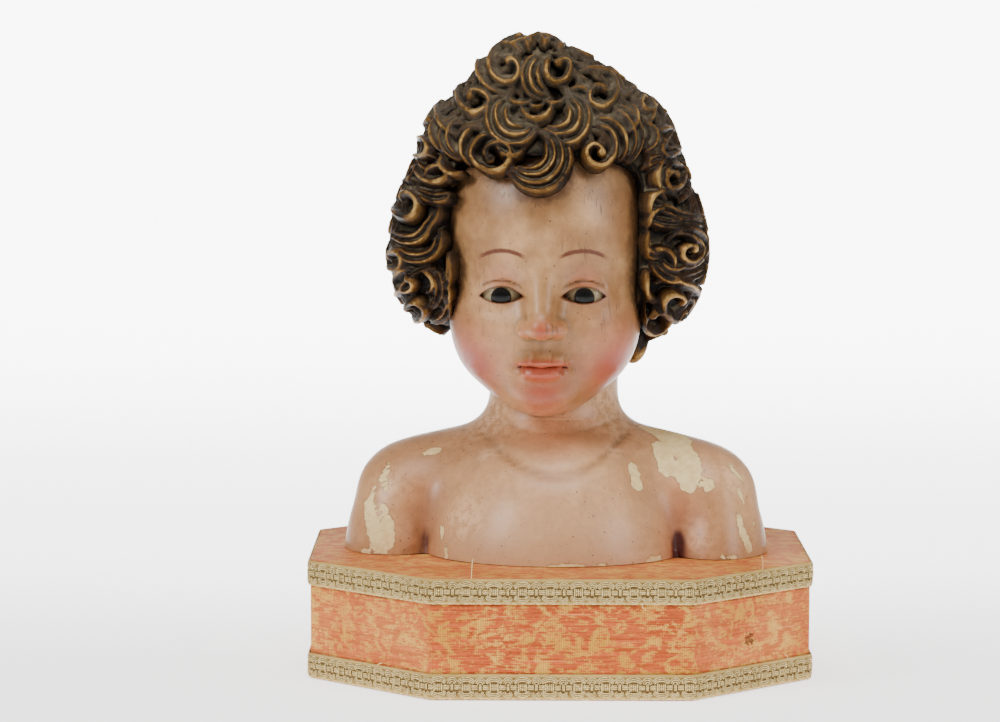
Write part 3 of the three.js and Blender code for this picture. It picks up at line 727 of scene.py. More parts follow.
def hair_object(sizes):
    """Ground and locks melted into one skin by a voxel remesh, then thinned where it is flat."""
    rises = np.radians(np.linspace(-89, 89, 120))
    hair = mesh_object("hair", *star_surface(hair_ground, HAIR_CENTRE, 200, rises))
    face = star_surface(face_opening, FACE_CENTRE - (0, 50, 0), 160, rises)
    combined(hair, mesh_object("face_opening", *face), "DIFFERENCE")
    parts = [outward_facing(part) for part in [wisp(), *all_locks(np.random.default_rng(SEED))]]
    locks = mesh_object("locks", *gathered(parts))
    with bpy.context.temp_override(active_object=hair, selected_editable_objects=[hair, locks]):
        bpy.ops.object.join()
    modified(hair, "REMESH", mode="VOXEL", voxel_size=sizes.voxel, adaptivity=0)
    modified(hair, "SMOOTH", factor=0.5, iterations=2)
    share = min(1, HAIR_TRIANGLES / (2 * len(hair.data.polygons)))
    return modified(hair, "DECIMATE", ratio=share)


def outward_facing(part):
    """The part with its faces turned round if they point inwards."""
    verts, quads, triangles = part
    if volume(*part) < 0:
        return verts, quads[:, ::-1], triangles[:, ::-1]
    return part


def flesh_object():
    """Shoulders and neck joined to the head, with a ball and an almond cut out for each eye."""
    flesh = mesh_object("bust", *body_surface(220, 80))
    combined(flesh, mesh_object("head", *star_surface(head, FACE_CENTRE, 240, face_rises(160))), "UNION")
    for x in (-EYE_X, EYE_X):
        combined(flesh, mesh_object("socket", *ball(eye_middle(x), EYE_RADIUS + 0.3)), "DIFFERENCE")
        combined(flesh, mesh_object("opening", *eye_opening(x)), "DIFFERENCE")
    return flesh


# The plinth's dressing

CORNER_CUT, CORNER_ROUND = 66, 7
PLINTH_TOP = limits("cloth_top")[1][2]
SIDE_LOW, SIDE_HIGH = limits("cloth_side")[0][2], limits("cloth_side")[1][2]
BLOCK_HIGH = limits("plinth_block")[1][2]
CLOTH_IN, BLOCK_IN = 1.7, 2.6
BRAID_REPEATS, BRAID_MIDDLE, TAPE_OUT = 62, 6.4, -0.8

# One repeat of the braid's cords: the middle along and up from the middle line, the reach along and up, first and
# last angle, how far it stands out and its half thickness. No reach along or up makes a straight thread.
GIMP = (
    # Three cords above and three below a woven square
    ((0, 1.5), (3.5, 1.9), (172, 8), 0.46, 0.38),
    ((0, 1.5), (4.2, 2.9), (166, 14), 0.4, 0.36),
    ((0, 1.5), (4.9, 3.9), (156, 24), 0.3, 0.34),
    ((0, -1.4), (3.3, 1.8), (188, 352), 0.46, 0.38),
    ((0, -1.4), (4.0, 2.8), (194, 346), 0.4, 0.36),
    ((0, -1.4), (4.7, 3.7), (204, 336), 0.3, 0.34),
    ((-1.95, 0), (0, 2.0), (90, -90), 0.46, 0.4),
    ((1.95, 0), (0, 2.0), (90, -90), 0.46, 0.4),
    ((-1.0, 0), (0, 1.7), (90, -90), 0.24, 0.32),
    ((0, 0), (0, 1.7), (90, -90), 0.2, 0.32),
    ((1.0, 0), (0, 1.7), (90, -90), 0.24, 0.32),
    ((0, 0.7), (1.7, 0), (180, 0), 0.3, 0.22),
    ((0, -0.7), (1.7, 0), (180, 0), 0.3, 0.22),
    # Short level threads on both sides of it
    ((4.3, 0.85), (1.4, 0), (180, 0), 0.38, 0.38),
    ((4.3, 0), (1.5, 0), (180, 0), 0.42, 0.4),
    ((4.3, -0.85), (1.4, 0), (180, 0), 0.38, 0.38),
    ((10.1, 0.85), (1.4, 0), (180, 0), 0.38, 0.38),
    ((10.1, 0), (1.5, 0), (180, 0), 0.42, 0.4),
    ((10.1, -0.85), (1.4, 0), (180, 0), 0.38, 0.38),
    # A small loop between two squares, and a slot in another under it
    ((7.2, 1.5), (1.3, 1.5), (175, 5), 0.44, 0.36),
    ((7.2, 1.5), (2.2, 2.6), (168, 12), 0.4, 0.36),
    ((6.85, 0.1), (0, 1.6), (90, -90), 0.4, 0.34),
    ((7.55, 0.1), (0, 1.6), (90, -90), 0.4, 0.34),
    ((6.9, -2.1), (1.4, 1.3), (190, 355), 0.44, 0.36),
    ((6.9, -2.1), (2.2, 2.2), (192, 350), 0.4, 0.36),
    # Scallops behind them
    ((7.2, 1.5), (3.0, 3.6), (150, 30), 0.22, 0.32),
    ((6.9, -2.1), (3.0, 3.0), (210, 330), 0.22, 0.32),
)

# The tape under the cords in section: height, and length outwards from the plinth's outline
TAPE = (
    (0.1, -1.35),
    (0, -0.85),
    (0.5, -0.62),
    (1.3, -0.66),
    (2.0, -1.0),
    (6.5, -1.0),
    (11.4, -1.0),
    (11.9, -0.68),
    (12.8, -0.62),
    (13.2, -0.85),
    (13.1, -1.35),
    (6.5, -1.35),
)

# Loose threads on the two braids: x of the place in front, height on the braid, rise, lean along, and length outwards
LOOSE_TOP = ((-46.5, 12.6, 10.8, 0.6, -1.2), (106, 12.6, 8.0, -0.8, -1.0), (41, 0.4, -3.2, 2.2, -0.2))
LOOSE_BOTTOM = ((-96, 12.6, 2.2, 4.0, -0.3), (12, 0.2, -0.5, 5.0, 0.2), (120, 12.8, 3.0, -2.6, -0.2))

# Where moths have eaten the cloth on the right front side: x and z
MOTHS_AT = (99.5, 27.5)

# What is added to y in the top's weave, so that it lies clear of the sides' lower and upper edges
TOP_WEAVE = 200


def plinth_line():
    """The braid's outside from above: distances along it, x, y and the angle outwards, from a back corner round.

    Each corner is an arc of CORNER_ROUND about a corner of the outline as far inside, whose cut sides are
    shorter by (2 - sqrt 2) of it.
    """
    x, y = limits("braid_bottom")[1][:2] - CORNER_ROUND
    cut = CORNER_CUT - CORNER_ROUND * (2 - 2**0.5)
    right = [(x - cut, -y), (x, cut - y), (x, y - cut), (x - cut, y)]
    corners = np.array(right + [(-a, -b) for a, b in right])
    k = np.arange(4, 12)[:, None]
    turn = np.radians(45 * k - 90 + np.linspace(0, 45, 6))
    places = corners[k % 8] + CORNER_ROUND * np.stack([np.cos(turn), np.sin(turn)], -1)
    places, turn = places.reshape(-1, 2), turn.ravel()
    places, turn = np.concatenate([places, places[:1]]), np.append(turn, turn[0] + 2 * np.pi)
    gaps = np.linalg.norm(np.diff(places, axis=0), axis=1)
    return np.concatenate([[0], np.cumsum(gaps)]), places[:, 0], places[:, 1], turn


OUTLINE = plinth_line()
ROUND = OUTLINE[0][-1]


def round_plinth(along, out, z):
    """Points at distances along the plinth's outline, at lengths outwards from it and at heights."""
    x, y, turn = (np.interp(along % ROUND, OUTLINE[0], values) for values in OUTLINE[1:])
    return np.stack([x + out * np.cos(turn), y + out * np.sin(turn), z + 0 * x], -1)


def distance_at(x):
    """How far along the outline its front stands at x."""
    front = slice(len(OUTLINE[0]) // 4, 3 * len(OUTLINE[0]) // 4 + 1)
    return np.interp(x, OUTLINE[1][front], OUTLINE[0][front])


def outline_steps(step):
    """Distances along the outline at even steps, and at the points of its corners."""
    return np.union1d(np.arange(0, ROUND, step), OUTLINE[0][:-1])


def looped(points, closed):
    """A grid joined end to end round its first side, and round its second too where it is closed."""
    columns, rows = points.shape[:2]
    i, j = np.meshgrid(np.arange(columns), np.arange(rows if closed else rows - 1), indexing="ij")
    after, above = (i + 1) % columns, (j + 1) % rows
    quads = np.stack([i * rows + j, after * rows + j, after * rows + above, i * rows + above], -1)
    return points.reshape(-1, 3), quads.reshape(-1, 4), np.zeros((0, 3), int)


CORD_SIDES, CORD_RINGS = 4, 8


def cord_part(at, thick, sides=CORD_SIDES):
    """A round cord along CORD_RINGS points whose third number is the height over a flat band."""
    step = unit(np.gradient(at, axis=0))
    across = unit(np.cross(step, (0, 0, 1.0)) + (1e-6, 0, 0))
    lift = np.cross(across, step)
    turn = np.linspace(0, 2 * np.pi, sides, endpoint=False)[None, :, None]
    rings = at[:, None] + thick * (np.cos(turn) * across[:, None] + np.sin(turn) * lift[:, None])
    return outward_facing(closed_tube(rings))


def cord_crests(part):
    """1 along the outer side of each cord in a part, 0 along its flanks and -1 behind."""
    one = np.tile(np.sin(np.linspace(0, 2 * np.pi, CORD_SIDES, endpoint=False)), CORD_RINGS)
    return np.tile(np.append(one, (0, 0)), len(part[0]) // (len(one) + 2))


def gimp_repeat():
    """One repeat of the cords: along + a cos, up + b sin and outwards by the rise times sin(pi t)^0.6."""
    parts = []
    t = np.linspace(0, 1, CORD_RINGS)
    for (along, up), (wide, tall), (start, end), rise, thick in GIMP:
        a = np.radians(start + (end - start) * t)
        out = TAPE_OUT + rise * np.sin(np.pi * t) ** 0.6
        at = np.stack([along + wide * np.cos(a), BRAID_MIDDLE + up + tall * np.sin(a), out], -1)
        parts.append(cord_part(at, thick))
    return gathered(parts)


def repeated(part, shifts):
    """A part set down once for each shift."""
    verts, quads, triangles = part
    more = np.arange(len(shifts))[:, None, None] * len(verts)
    moved = (verts[None] + shifts[:, None]).reshape(-1, 3)
    return moved, (quads + more).reshape(-1, 4), (triangles + more).reshape(-1, 3)


def set_weave(mesh, along, up):
    """A UV map in metres from each vertex's distance round the plinth and its height; faces across the seam count on."""
    corners, starts = np.empty(len(mesh.loops), np.int32), np.empty(len(mesh.polygons), np.int32)
    totals = np.empty(len(mesh.polygons), np.int32)
    mesh.loops.foreach_get("vertex_index", corners)
    mesh.polygons.foreach_get("loop_start", starts)
    mesh.polygons.foreach_get("loop_total", totals)
    u = along[corners]
    most = np.repeat(np.maximum.reduceat(u, starts), totals)
    u = np.where(most - u > ROUND / 2, u + ROUND, u)
    layer = mesh.uv_layers.new(name="weave")
    layer.uv.foreach_set("vector", (np.stack([u, up[corners]], -1) * MM).ravel().astype(np.float32))


def braid_object(name, node, loose, rng):
    """A ribbed tape with cords worked on it, and a few threads that have come loose."""
    low = limits(node)[0][2]
    u = outline_steps(1.5)
    section = np.array(TAPE, float)
    up = section[None, :, 0] + 0.14 * np.sin(u * 1.9 + 2 * np.sin(u * 0.37))[:, None] * (section[:, 0] < 1)
    tape = np.stack([u[:, None] + 0 * up, up, section[None, :, 1] + 0 * up], -1)
    shifts = np.zeros((BRAID_REPEATS, 3))
    shifts[:, 0] = np.arange(BRAID_REPEATS) * ROUND / BRAID_REPEATS + rng.uniform(-0.25, 0.25, BRAID_REPEATS)
    shifts[:, 1] = rng.uniform(-0.15, 0.15, BRAID_REPEATS)
    parts = [looped(tape, True), repeated(gimp_repeat(), shifts)]
    for x, start, rise, lean, out in loose:
        t = np.linspace(0, 1, CORD_RINGS)
        curve = start + rise * t**0.9
        at = np.stack([distance_at(x) + lean * t**1.6, curve, out + 0.5 * np.sin(np.pi * t)], -1)
        parts.append(cord_part(at, 0.17))
    kinds = [np.full(len(part[0]), min(k, 2)) for k, part in enumerate(parts)]
    crests = [np.ones(len(tape.reshape(-1, 3)))] + [cord_crests(part) for part in parts[1:]]
    verts, quads, triangles = gathered(parts)
    placed_verts = round_plinth(verts[:, 0], verts[:, 2], low + verts[:, 1])
    made = mesh_object(name, placed_verts, quads, triangles)
    set_weave(made.data, verts[:, 0], verts[:, 1])
    set_values(made.data, "cord", np.concatenate(kinds))
    set_values(made.data, "crest", np.concatenate(crests))
    return made


def swell(a, b):
    """A slight unevenness, by sines that don't repeat together."""
    return np.sin(a / 17 + 1.3 * np.sin(b / 23)) + 0.6 * np.sin(a / 7.3 + b / 11 + 2)


def side_cloth():
    """The cloth round the sides, its upper and lower edges under the braid."""
    u, z = np.meshgrid(outline_steps(3), np.linspace(SIDE_LOW, SIDE_HIGH, 22), indexing="ij")
    points = round_plinth(u, -CLOTH_IN - 0.09 * (1.6 + swell(u, z)), z)
    made = mesh_object("side_cloth", *looped(points, False))
    up, along = z.ravel(), u.ravel()
    set_weave(made.data, along, up)
    # The corner facets are painted paler than the front, back and sides: painted light, with some fading.
    turned = np.abs(np.sin(2 * np.interp(along, OUTLINE[0], OUTLINE[3])))
    set_values(made.data, "fade_and_light", 0.5 * smooth(turned, 0.2, 0.9))
    set_values(made.data, "moth", np.hypot(along - distance_at(MOTHS_AT[0]), up - MOTHS_AT[1]))
    return made


def top_cloth():
    """The cloth over the top: rings from the middle out to the outline, the last turned down behind the braid."""
    edge = round_plinth(outline_steps(3), -CLOTH_IN, PLINTH_TOP)
    share = np.append(np.linspace(0.02, 1, 44), 1)[:, None]
    rings = np.stack([edge[:, 0] * share, edge[:, 1] * share, edge[:, 2] + 0 * share], -1)
    rings[:-1, :, 2] -= 0.06 * (1.6 + swell(rings[:-1, :, 0], rings[:-1, :, 1]))
    rings[-1, :, 2] -= 0.5
    rows, columns = rings.shape[:2]
    verts, quads, triangles = closed_tube(rings)
    made = mesh_object("top_cloth", verts[:-1], quads, triangles[:columns])
    set_weave(made.data, verts[:-1, 0] + ROUND / 4, verts[:-1, 1] + TOP_WEAVE)
    # The top is painted paler all over: painted light, with some fading.
    set_values(made.data, "fade_and_light", np.full(len(verts) - 1, 0.6))
    set_values(made.data, "moth", np.full(len(verts) - 1, 99.0))
    return made


def block_part():
    """The block: the outline at its inset from the foot to the top, its edges bevelled."""
    levels = ((0.0, 0.5), (0.5, 0), (BLOCK_HIGH - 0.5, 0), (BLOCK_HIGH, 0.5))
    u = outline_steps(60)
    return closed_tube(np.array([round_plinth(u, -BLOCK_IN - back, z) for z, back in levels]))


# Shader nodes


def put(tree, kind, inputs=None, **settings):
    """Adds a node, changes its settings and fills its inputs with values or links."""
    node = tree.nodes.new(kind)
    for name, value in settings.items():
        setattr(node, name, value)
    for socket, value in (inputs or {}).items():
        if isinstance(value, bpy.types.NodeSocket):
            tree.links.new(value, node.inputs[socket])
        else:
            node.inputs[socket].default_value = value
    return node


def maths(tree, operation, a, b=0.0, clamp=False):
    return put(tree, "ShaderNodeMath", {0: a, 1: b}, operation=operation, use_clamp=clamp).outputs[0]


def between(tree, value, low, high, to=(0.0, 1.0)):
    """A smooth step from low to high."""
    inputs = {0: value, 1: low, 2: high, 3: to[0], 4: to[1]}
    return put(tree, "ShaderNodeMapRange", inputs, interpolation_type="SMOOTHSTEP").outputs[0]


def mixed(tree, share, a, b, blend="MIX"):
    """Two colours mixed by a share."""
    inputs = {0: share, 6: a, 7: b}
    return put(tree, "ShaderNodeMix", inputs, data_type="RGBA", blend_type=blend, clamp_factor=True).outputs[2]


def noise(tree, where, scale, detail=3.0, roughness=0.55, distortion=0.0):
    inputs = {"Vector": where, "Scale": scale, "Detail": detail, "Roughness": roughness, "Distortion": distortion}
    return put(tree, "ShaderNodeTexNoise", inputs).outputs[0]


def stretched(tree, where, scale):
    """Coordinates times three factors."""
    return put(tree, "ShaderNodeMapping", {"Vector": where, "Scale": scale}).outputs[0]


def stored(tree, name):
    """A number kept at the piece's vertices."""
    return put(tree, "ShaderNodeAttribute", attribute_name=name).outputs["Fac"]


def bumped(tree, height, distance, strength=1.0):
    inputs = {"Height": height, "Distance": distance, "Strength": strength}
    return put(tree, "ShaderNodeBump", inputs).outputs[0]


def colour(values):
    return (*values[:3], 1.0)


def new_group(name, takes, gives):
    """A node group with named inputs and their defaults, and named outputs."""
    tree = bpy.data.node_groups.new(name, "ShaderNodeTree")
    for label, kind, default in takes:
        socket = tree.interface.new_socket(label, in_out="INPUT", socket_type=kind)
        if default is not None:
            socket.default_value = default
    for label, kind in gives:
        tree.interface.new_socket(label, in_out="OUTPUT", socket_type=kind)
    return tree, put(tree, "NodeGroupInput").outputs, put(tree, "NodeGroupOutput")


def send(tree, end, **values):
    for name, value in values.items():
        tree.links.new(value, end.inputs[name.replace("_", " ")])


FLOAT, COLOUR, VECTOR = "NodeSocketFloat", "NodeSocketColor", "NodeSocketVector"


def speck_group():
    """Scattered dark dots: 1 where a cell's middle is near and the cell's own lot is drawn."""
    tree, given, end = new_group(
        "Specks", [("Vector", VECTOR, None), ("Scale", FLOAT, 300.0), ("Share", FLOAT, 0.1)], [("Mask", FLOAT)]
    )
    cells = put(tree, "ShaderNodeTexVoronoi", {"Vector": given["Vector"], "Scale": given["Scale"]})
    lot = put(tree, "ShaderNodeSeparateColor", {0: cells.outputs["Color"]})
    drawn = maths(tree, "LESS_THAN", lot.outputs[0], given["Share"])
    size = maths(tree, "MULTIPLY_ADD", lot.outputs[1], 0.22)
    size.node.inputs[2].default_value = 0.08
    near = maths(tree, "DIVIDE", maths(tree, "SUBTRACT", size, cells.outputs["Distance"]), 0.08, clamp=True)
    send(tree, end, Mask=maths(tree, "MULTIPLY", drawn, near))
    return tree


def ragged_group():
    """A signed distance in millimetres turned to a mask with a ragged edge, and to a thin line along that edge."""
    tree, given, end = new_group(
        "Ragged Edge",
        [("Vector", VECTOR, None), ("Distance", FLOAT, 1.0), ("Raggedness", FLOAT, 1.0), ("Scale", FLOAT, 250.0)],
        [("Mask", FLOAT), ("Rim", FLOAT)],
    )
    coarse = noise(tree, given["Vector"], given["Scale"], 4.0, 0.65)
    swing = maths(tree, "MULTIPLY", maths(tree, "SUBTRACT", coarse, 0.5), given["Raggedness"])
    edge = maths(tree, "ADD", given["Distance"], maths(tree, "MULTIPLY", swing, 4.0))
    inside = between(tree, edge, 0.12, -0.12)
    rim = maths(tree, "SUBTRACT", between(tree, edge, 0.9, 0.2), inside, clamp=True)
    send(tree, end, Mask=inside, Rim=rim)
    return tree


def wear_group():
    """Crests and hollows from the stored hollowness in millimetres, both broken up by noise; the hollows' mask serves
    for grime and for painted shade.
    """
    tree, given, end = new_group(
        "Wear and Grime",
        [
            ("Vector", VECTOR, None),
            ("Hollow", FLOAT, 0.0),
            ("Reach", FLOAT, 0.6),
            ("Threshold", FLOAT, 0.0),
            ("Scale", FLOAT, 120.0),
        ],
        [("Crest", FLOAT), ("Grime", FLOAT)],
    )
    rough = maths(tree, "SUBTRACT", noise(tree, given["Vector"], given["Scale"], 5.0, 0.6), 0.5)
    moved = maths(tree, "ADD", given["Hollow"], maths(tree, "MULTIPLY", rough, given["Reach"]))
    crest = maths(tree, "SUBTRACT", maths(tree, "MULTIPLY", moved, -1.0), given["Threshold"])
    crest = maths(tree, "DIVIDE", crest, given["Reach"], clamp=True)
    grime_and_shade = maths(tree, "DIVIDE", moved, given["Reach"], clamp=True)
    send(tree, end, Crest=crest, Grime=grime_and_shade)
    return tree


def grain_group():
    """Fine upright cracks of wood grain showing through paint."""
    tree, given, end = new_group(
        "Grain Cracks", [("Vector", VECTOR, None), ("Scale", FLOAT, 900.0), ("Share", FLOAT, 0.5)], [("Mask", FLOAT)]
    )
    thin = stretched(tree, given["Vector"], (1, 1, 0.03))
    lines = noise(tree, thin, given["Scale"], 2.0, 0.5)
    patches = noise(tree, given["Vector"], 45.0, 2.0)
    drawn = between(tree, patches, maths(tree, "SUBTRACT", 1.0, given["Share"]), 0.75)
    send(tree, end, Mask=maths(tree, "MULTIPLY", between(tree, lines, 0.61, 0.67), drawn))
    return tree


def dust_group():
    """Dust that settles where the surface looks up, thicker in its hollows."""
    tree, given, end = new_group(
        "Settled Dust", [("Vector", VECTOR, None), ("Hollow", FLOAT, 0.0), ("Share", FLOAT, 0.5)], [("Mask", FLOAT)]
    )
    upward = put(tree, "ShaderNodeSeparateXYZ", {0: put(tree, "ShaderNodeNewGeometry").outputs["Normal"]}).outputs[2]
    level = between(tree, upward, -0.15, 0.75)
    patchy = between(tree, noise(tree, given["Vector"], 70.0, 4.0, 0.6), 0.3, 0.65)
    deep = between(tree, given["Hollow"], -0.3, 1.0)
    amount = maths(tree, "MULTIPLY", maths(tree, "MULTIPLY", level, patchy), deep)
    send(tree, end, Mask=maths(tree, "MULTIPLY", amount, given["Share"], clamp=True))
    return tree


GROUPS = {
    "Specks": speck_group,
    "Ragged Edge": ragged_group,
    "Wear and Grime": wear_group,
    "Grain Cracks": grain_group,
    "Settled Dust": dust_group,
}


def effect(tree, name, inputs):
    """A shared group placed in a material, built at its first use."""
    group = bpy.data.node_groups.get(name) or GROUPS[name]()
    return put(tree, "ShaderNodeGroup", inputs, node_tree=group)


def new_material(name):
    """A material's tree with its object coordinates and Principled shader ready."""
    made = bpy.data.materials.new(name)
    made.use_nodes = True
    tree = made.node_tree
    tree.nodes.clear()
    shader = put(tree, "ShaderNodeBsdfPrincipled")
    put(tree, "ShaderNodeOutputMaterial", {"Surface": shader.outputs[0]})
    return made, tree, shader, put(tree, "ShaderNodeTexCoord").outputs["Object"]


def finish_shader(tree, shader, inputs):
    for name, value in inputs.items():
        if isinstance(value, bpy.types.NodeSocket):
            tree.links.new(value, shader.inputs[name])
        else:
            shader.inputs[name].default_value = value


# Paint on the bust

# Losses of paint down to the pale ground: x and z as seen from the front, and half width, from point to point
LOSSES = (
    ((-72, 116, 2.4), (-66, 117.5, 2.2)),
    ((-92, 110.5, 1.6), (-95.5, 103, 2.4), (-93, 98, 1.6)),
    ((-100, 97, 1.6), (-103, 89, 3.6), (-101, 80, 4.2), (-97.5, 70, 5.0), (-94, 66, 2.6)),
    ((-96, 90, 1.6), (-91.5, 79, 3.4), (-91, 69, 2.2)),
    ((-105.5, 65, 1.8), (-101.5, 64, 1.6)),
    ((-92.7, 88, 1.0), (-92.6, 87, 0.8)),
    ((-63, 79, 2.2), (-62.8, 74.5, 2.0)),
    ((-60.8, 70, 1.6), (-60.7, 65, 2.0)),
    ((46, 129, 2.6), (55, 126, 5.0), (63.5, 121, 6.6), (70, 115, 5.0), (72.5, 108, 3.6), (71.5, 101, 2.2)),
    ((55, 120, 5.2), (57.5, 110, 5.0)),
    ((64, 110, 5.6), (69, 102, 4.6)),
    ((39, 111, 3.4), (40.6, 103, 3.8)),
    ((51, 127.5, 3.6), (60, 128, 4.6), (66, 123, 5.4)),
    ((79.3, 103, 3.0), (78.6, 99.8, 2.6)),
    ((90.5, 112, 1.0), (94, 107.8, 1.6), (98, 103, 1.0)),
    ((95.5, 98.6, 1.4), (98.6, 92.3, 1.4)),
    ((95, 87, 1.8), (97, 78.5, 2.6), (101, 68.5, 2.8)),
    ((103.5, 81, 1.6), (104, 79.5, 1.2)),
    ((109, 74.5, 1.0), (111, 69.5, 1.4)),
    ((84.5, 65, 1.4), (94, 64.6, 1.2)),
    ((46, 64, 1.6), (52, 65.4, 1.8)),
    ((-6, 64, 1.0), (7, 63.8, 1.2), (24, 63.6, 0.9)),
)

# Places painted pale: some rubbed, some painted light on the neck's sides and highlights on its foot: middle in
# millimetres and reach
RUBS_AND_LIT_PATCHES = (
    ((-52, -60, 84), 15),
    ((-37, -36, 117), 7),
    ((-31, -40, 112), 6),
    ((28, -38, 117), 6),
    ((24, -41, 112), 5),
    ((70, -56, 75), 9),
    ((-37, -4, 136), 21),
    ((31, -6, 136), 21),
    ((92, -34, 104), 9),
    ((-94, -30, 100), 8),
)

# Cheeks, chin, nose, its wings and lids: middle in the head's frame, reach and strength of the rose
BLUSHES = (
    ((35, -50, MOUTH_Z + 3), 19, 1.0),
    ((0, -68, CHIN_Z + 11), 14, 0.9),
    ((0, -86, NOSE_Z + 4), 6.5, 0.8),
    ((9, -78, NOSE_Z + 3), 5, 0.45),
    ((EYE_X, -66, EYE_Z + 8), 8, 0.4),
)


def chain_distance(points, chain):
    """The distance from a chain of balls of given radii, thickening evenly from one to the next."""
    out = np.full(len(points), 1e3)
    for (a, ra), (b, rb) in zip(chain[:-1], chain[1:]):
        along = np.clip((points - a) @ (b - a) / max((b - a) @ (b - a), 1e-9), 0, 1)
        gap = np.linalg.norm(points - a - along[:, None] * (b - a), axis=-1) - (ra + along * (rb - ra))
        out = np.minimum(out, gap)
    return out


def loss_distance(points):
    """The distance from the nearest loss, each point of which lies on the body straight behind its place."""
    out = np.full(len(points), 1e3)
    for loss in LOSSES:
        x, z, radius = np.array(loss, float).T
        start = np.stack([x, np.full_like(x, TORSO_AT[1] + 3), np.maximum(z, BUST_FOOT + 0.1)], -1)
        ray = np.tile((0.0, -1.0, 0.0), (len(x), 1))
        at = start + ray * reach(body, start, ray)[:, None]
        out = np.minimum(out, chain_distance(points, list(zip(at, radius))))
    return out


def painted_values(points):
    """What the flesh's paint needs at each vertex, as named arrays."""
    q = local(points, HEAD_AT, HEAD_TURN)
    side = mirrored(q)
    x, z = side[:, 0], q[:, 2]
    front = smooth(-q[:, 1], 25, 45)
    blush = np.zeros(len(points))
    for middle, size, strength in BLUSHES:
        gap = np.linalg.norm(side - np.array(middle), axis=-1)
        blush = np.maximum(blush, strength * bell(gap, size))
    brow_line = BROW_Z - 1.5 + 4.6 * (1 - ((x - 21) / 14) ** 2)
    upper, lower = lid_edges(np.clip(x - EYE_X, -SLIT_HALF, SLIT_HALF))
    past = np.maximum(np.abs(x - EYE_X) - SLIT_HALF, 0)
    rim = np.hypot(np.maximum(z - EYE_Z - upper, lower - z + EYE_Z), past)
    upper_lip = np.hypot((x - 5) / 9.5, (z - MOUTH_Z - 1.6) / 3.3) - 1
    lower_lip = np.hypot(x / 12, (z - MOUTH_Z + 3.0) / 4.2) - 1
    lip = np.minimum(upper_lip, lower_lip) * 3.4
    rub_and_light = np.zeros(len(points))
    for middle, size in RUBS_AND_LIT_PATCHES:
        rub_and_light = np.maximum(rub_and_light, bell(np.linalg.norm(points - np.array(middle), axis=-1), size))
    t = local(points, TORSO_AT, TORSO_TURN)
    arm = ellipsoid(mirrored(t), (87, -6, 52), (28.5, 40, 60))
    trunk = np.minimum(ellipsoid(t, (0, -17, 58), (70, 64, 72)), ellipsoid(t, (0, 12, 70), (84, 40, 58)))
    # Painted shade in the armpits, stronger on the +X side, with a rose halo that fades upwards into the blush.
    fold = np.where(t[:, 0] > 0, 1.0, 0.6)
    crease = fold * bell(arm - trunk, 6.5) * smooth(84 - t[:, 2], 0, 13)
    glow = fold * bell(arm - trunk, 15) * smooth(118 - t[:, 2], 0, 34)
    return {
        "blush": np.maximum(blush * front, 0.42 * glow),
        "brow": z - brow_line,
        "brow_part": smooth(x, 7.5, 12) * smooth(35.5 - x, 0, 5) * front,
        "eye_rim": np.where(front > 0.1, rim, 99.0),
        "lip": np.where((front > 0.1) & (np.abs(z - MOUTH_Z) < 16), lip, 99.0),
        "mouth": np.where(front > 0.1, np.abs(z - mouth_line(x)) + np.maximum(x - 13.5, 0) * 2, 99.0),
        "crease": crease,
        "rub_and_light": rub_and_light,
        "breast": smooth(70 - np.abs(t[:, 0]), 0, 20),
        # The neck's pink over its whole band, heavier down the middle of its front as painted shade under the chin
        "throat_pink_and_shade": 0.12 + 0.55 * bell(points[:, 0] - NECK_X, 20) * smooth(-points[:, 1], -10, 10),
        "loss": loss_distance(points),
    }


def hair_distance(points, hair_points):
    """How far each point stands from the nearest vertex of the hair, by |a|^2 + |b|^2 - 2 a.b in strips."""
    out = np.full(len(points), 99.0)
    near = np.flatnonzero(points[:, 2] > hair_points[:, 2].min() - 20)
    b = hair_points.astype(np.float32)
    square = (b**2).sum(1)
    for strip in np.array_split(near, max(1, len(near) // 2000)):
        a = points[strip].astype(np.float32)
        gap = (a**2).sum(1)[:, None] + square - 2 * a @ b.T
        out[strip] = np.sqrt(np.maximum(gap.min(1), 0))
    return out


def store_paint(bust):
    """Keeps on the mesh what its two materials read: the painted places, the hollows and the hair's height."""
    mesh = bust.data
    points = coordinates(mesh)
    for name, values in painted_values(points).items():
        set_values(mesh, name, values)
    corners = np.empty(len(mesh.loops), np.int32)
    mesh.loops.foreach_get("vertex_index", corners)
    materials = np.empty(len(mesh.polygons), np.int32)
    mesh.polygons.foreach_get("material_index", materials)
    totals = np.empty(len(mesh.polygons), np.int32)
    mesh.polygons.foreach_get("loop_total", totals)
    is_hair = np.zeros(len(points), bool)
    is_hair[corners[np.repeat(materials == 1, totals)]] = True
    front_hair = points[is_hair & (points[:, 1] < 20)]
    away = np.zeros(len(points))
    away[~is_hair] = hair_distance(points[~is_hair], front_hair[::3])
    set_values(mesh, "from_hair", away)
    set_values(mesh, "hollow", hollowness(mesh, 14))
    set_values(mesh, "height", hair_mass(points))


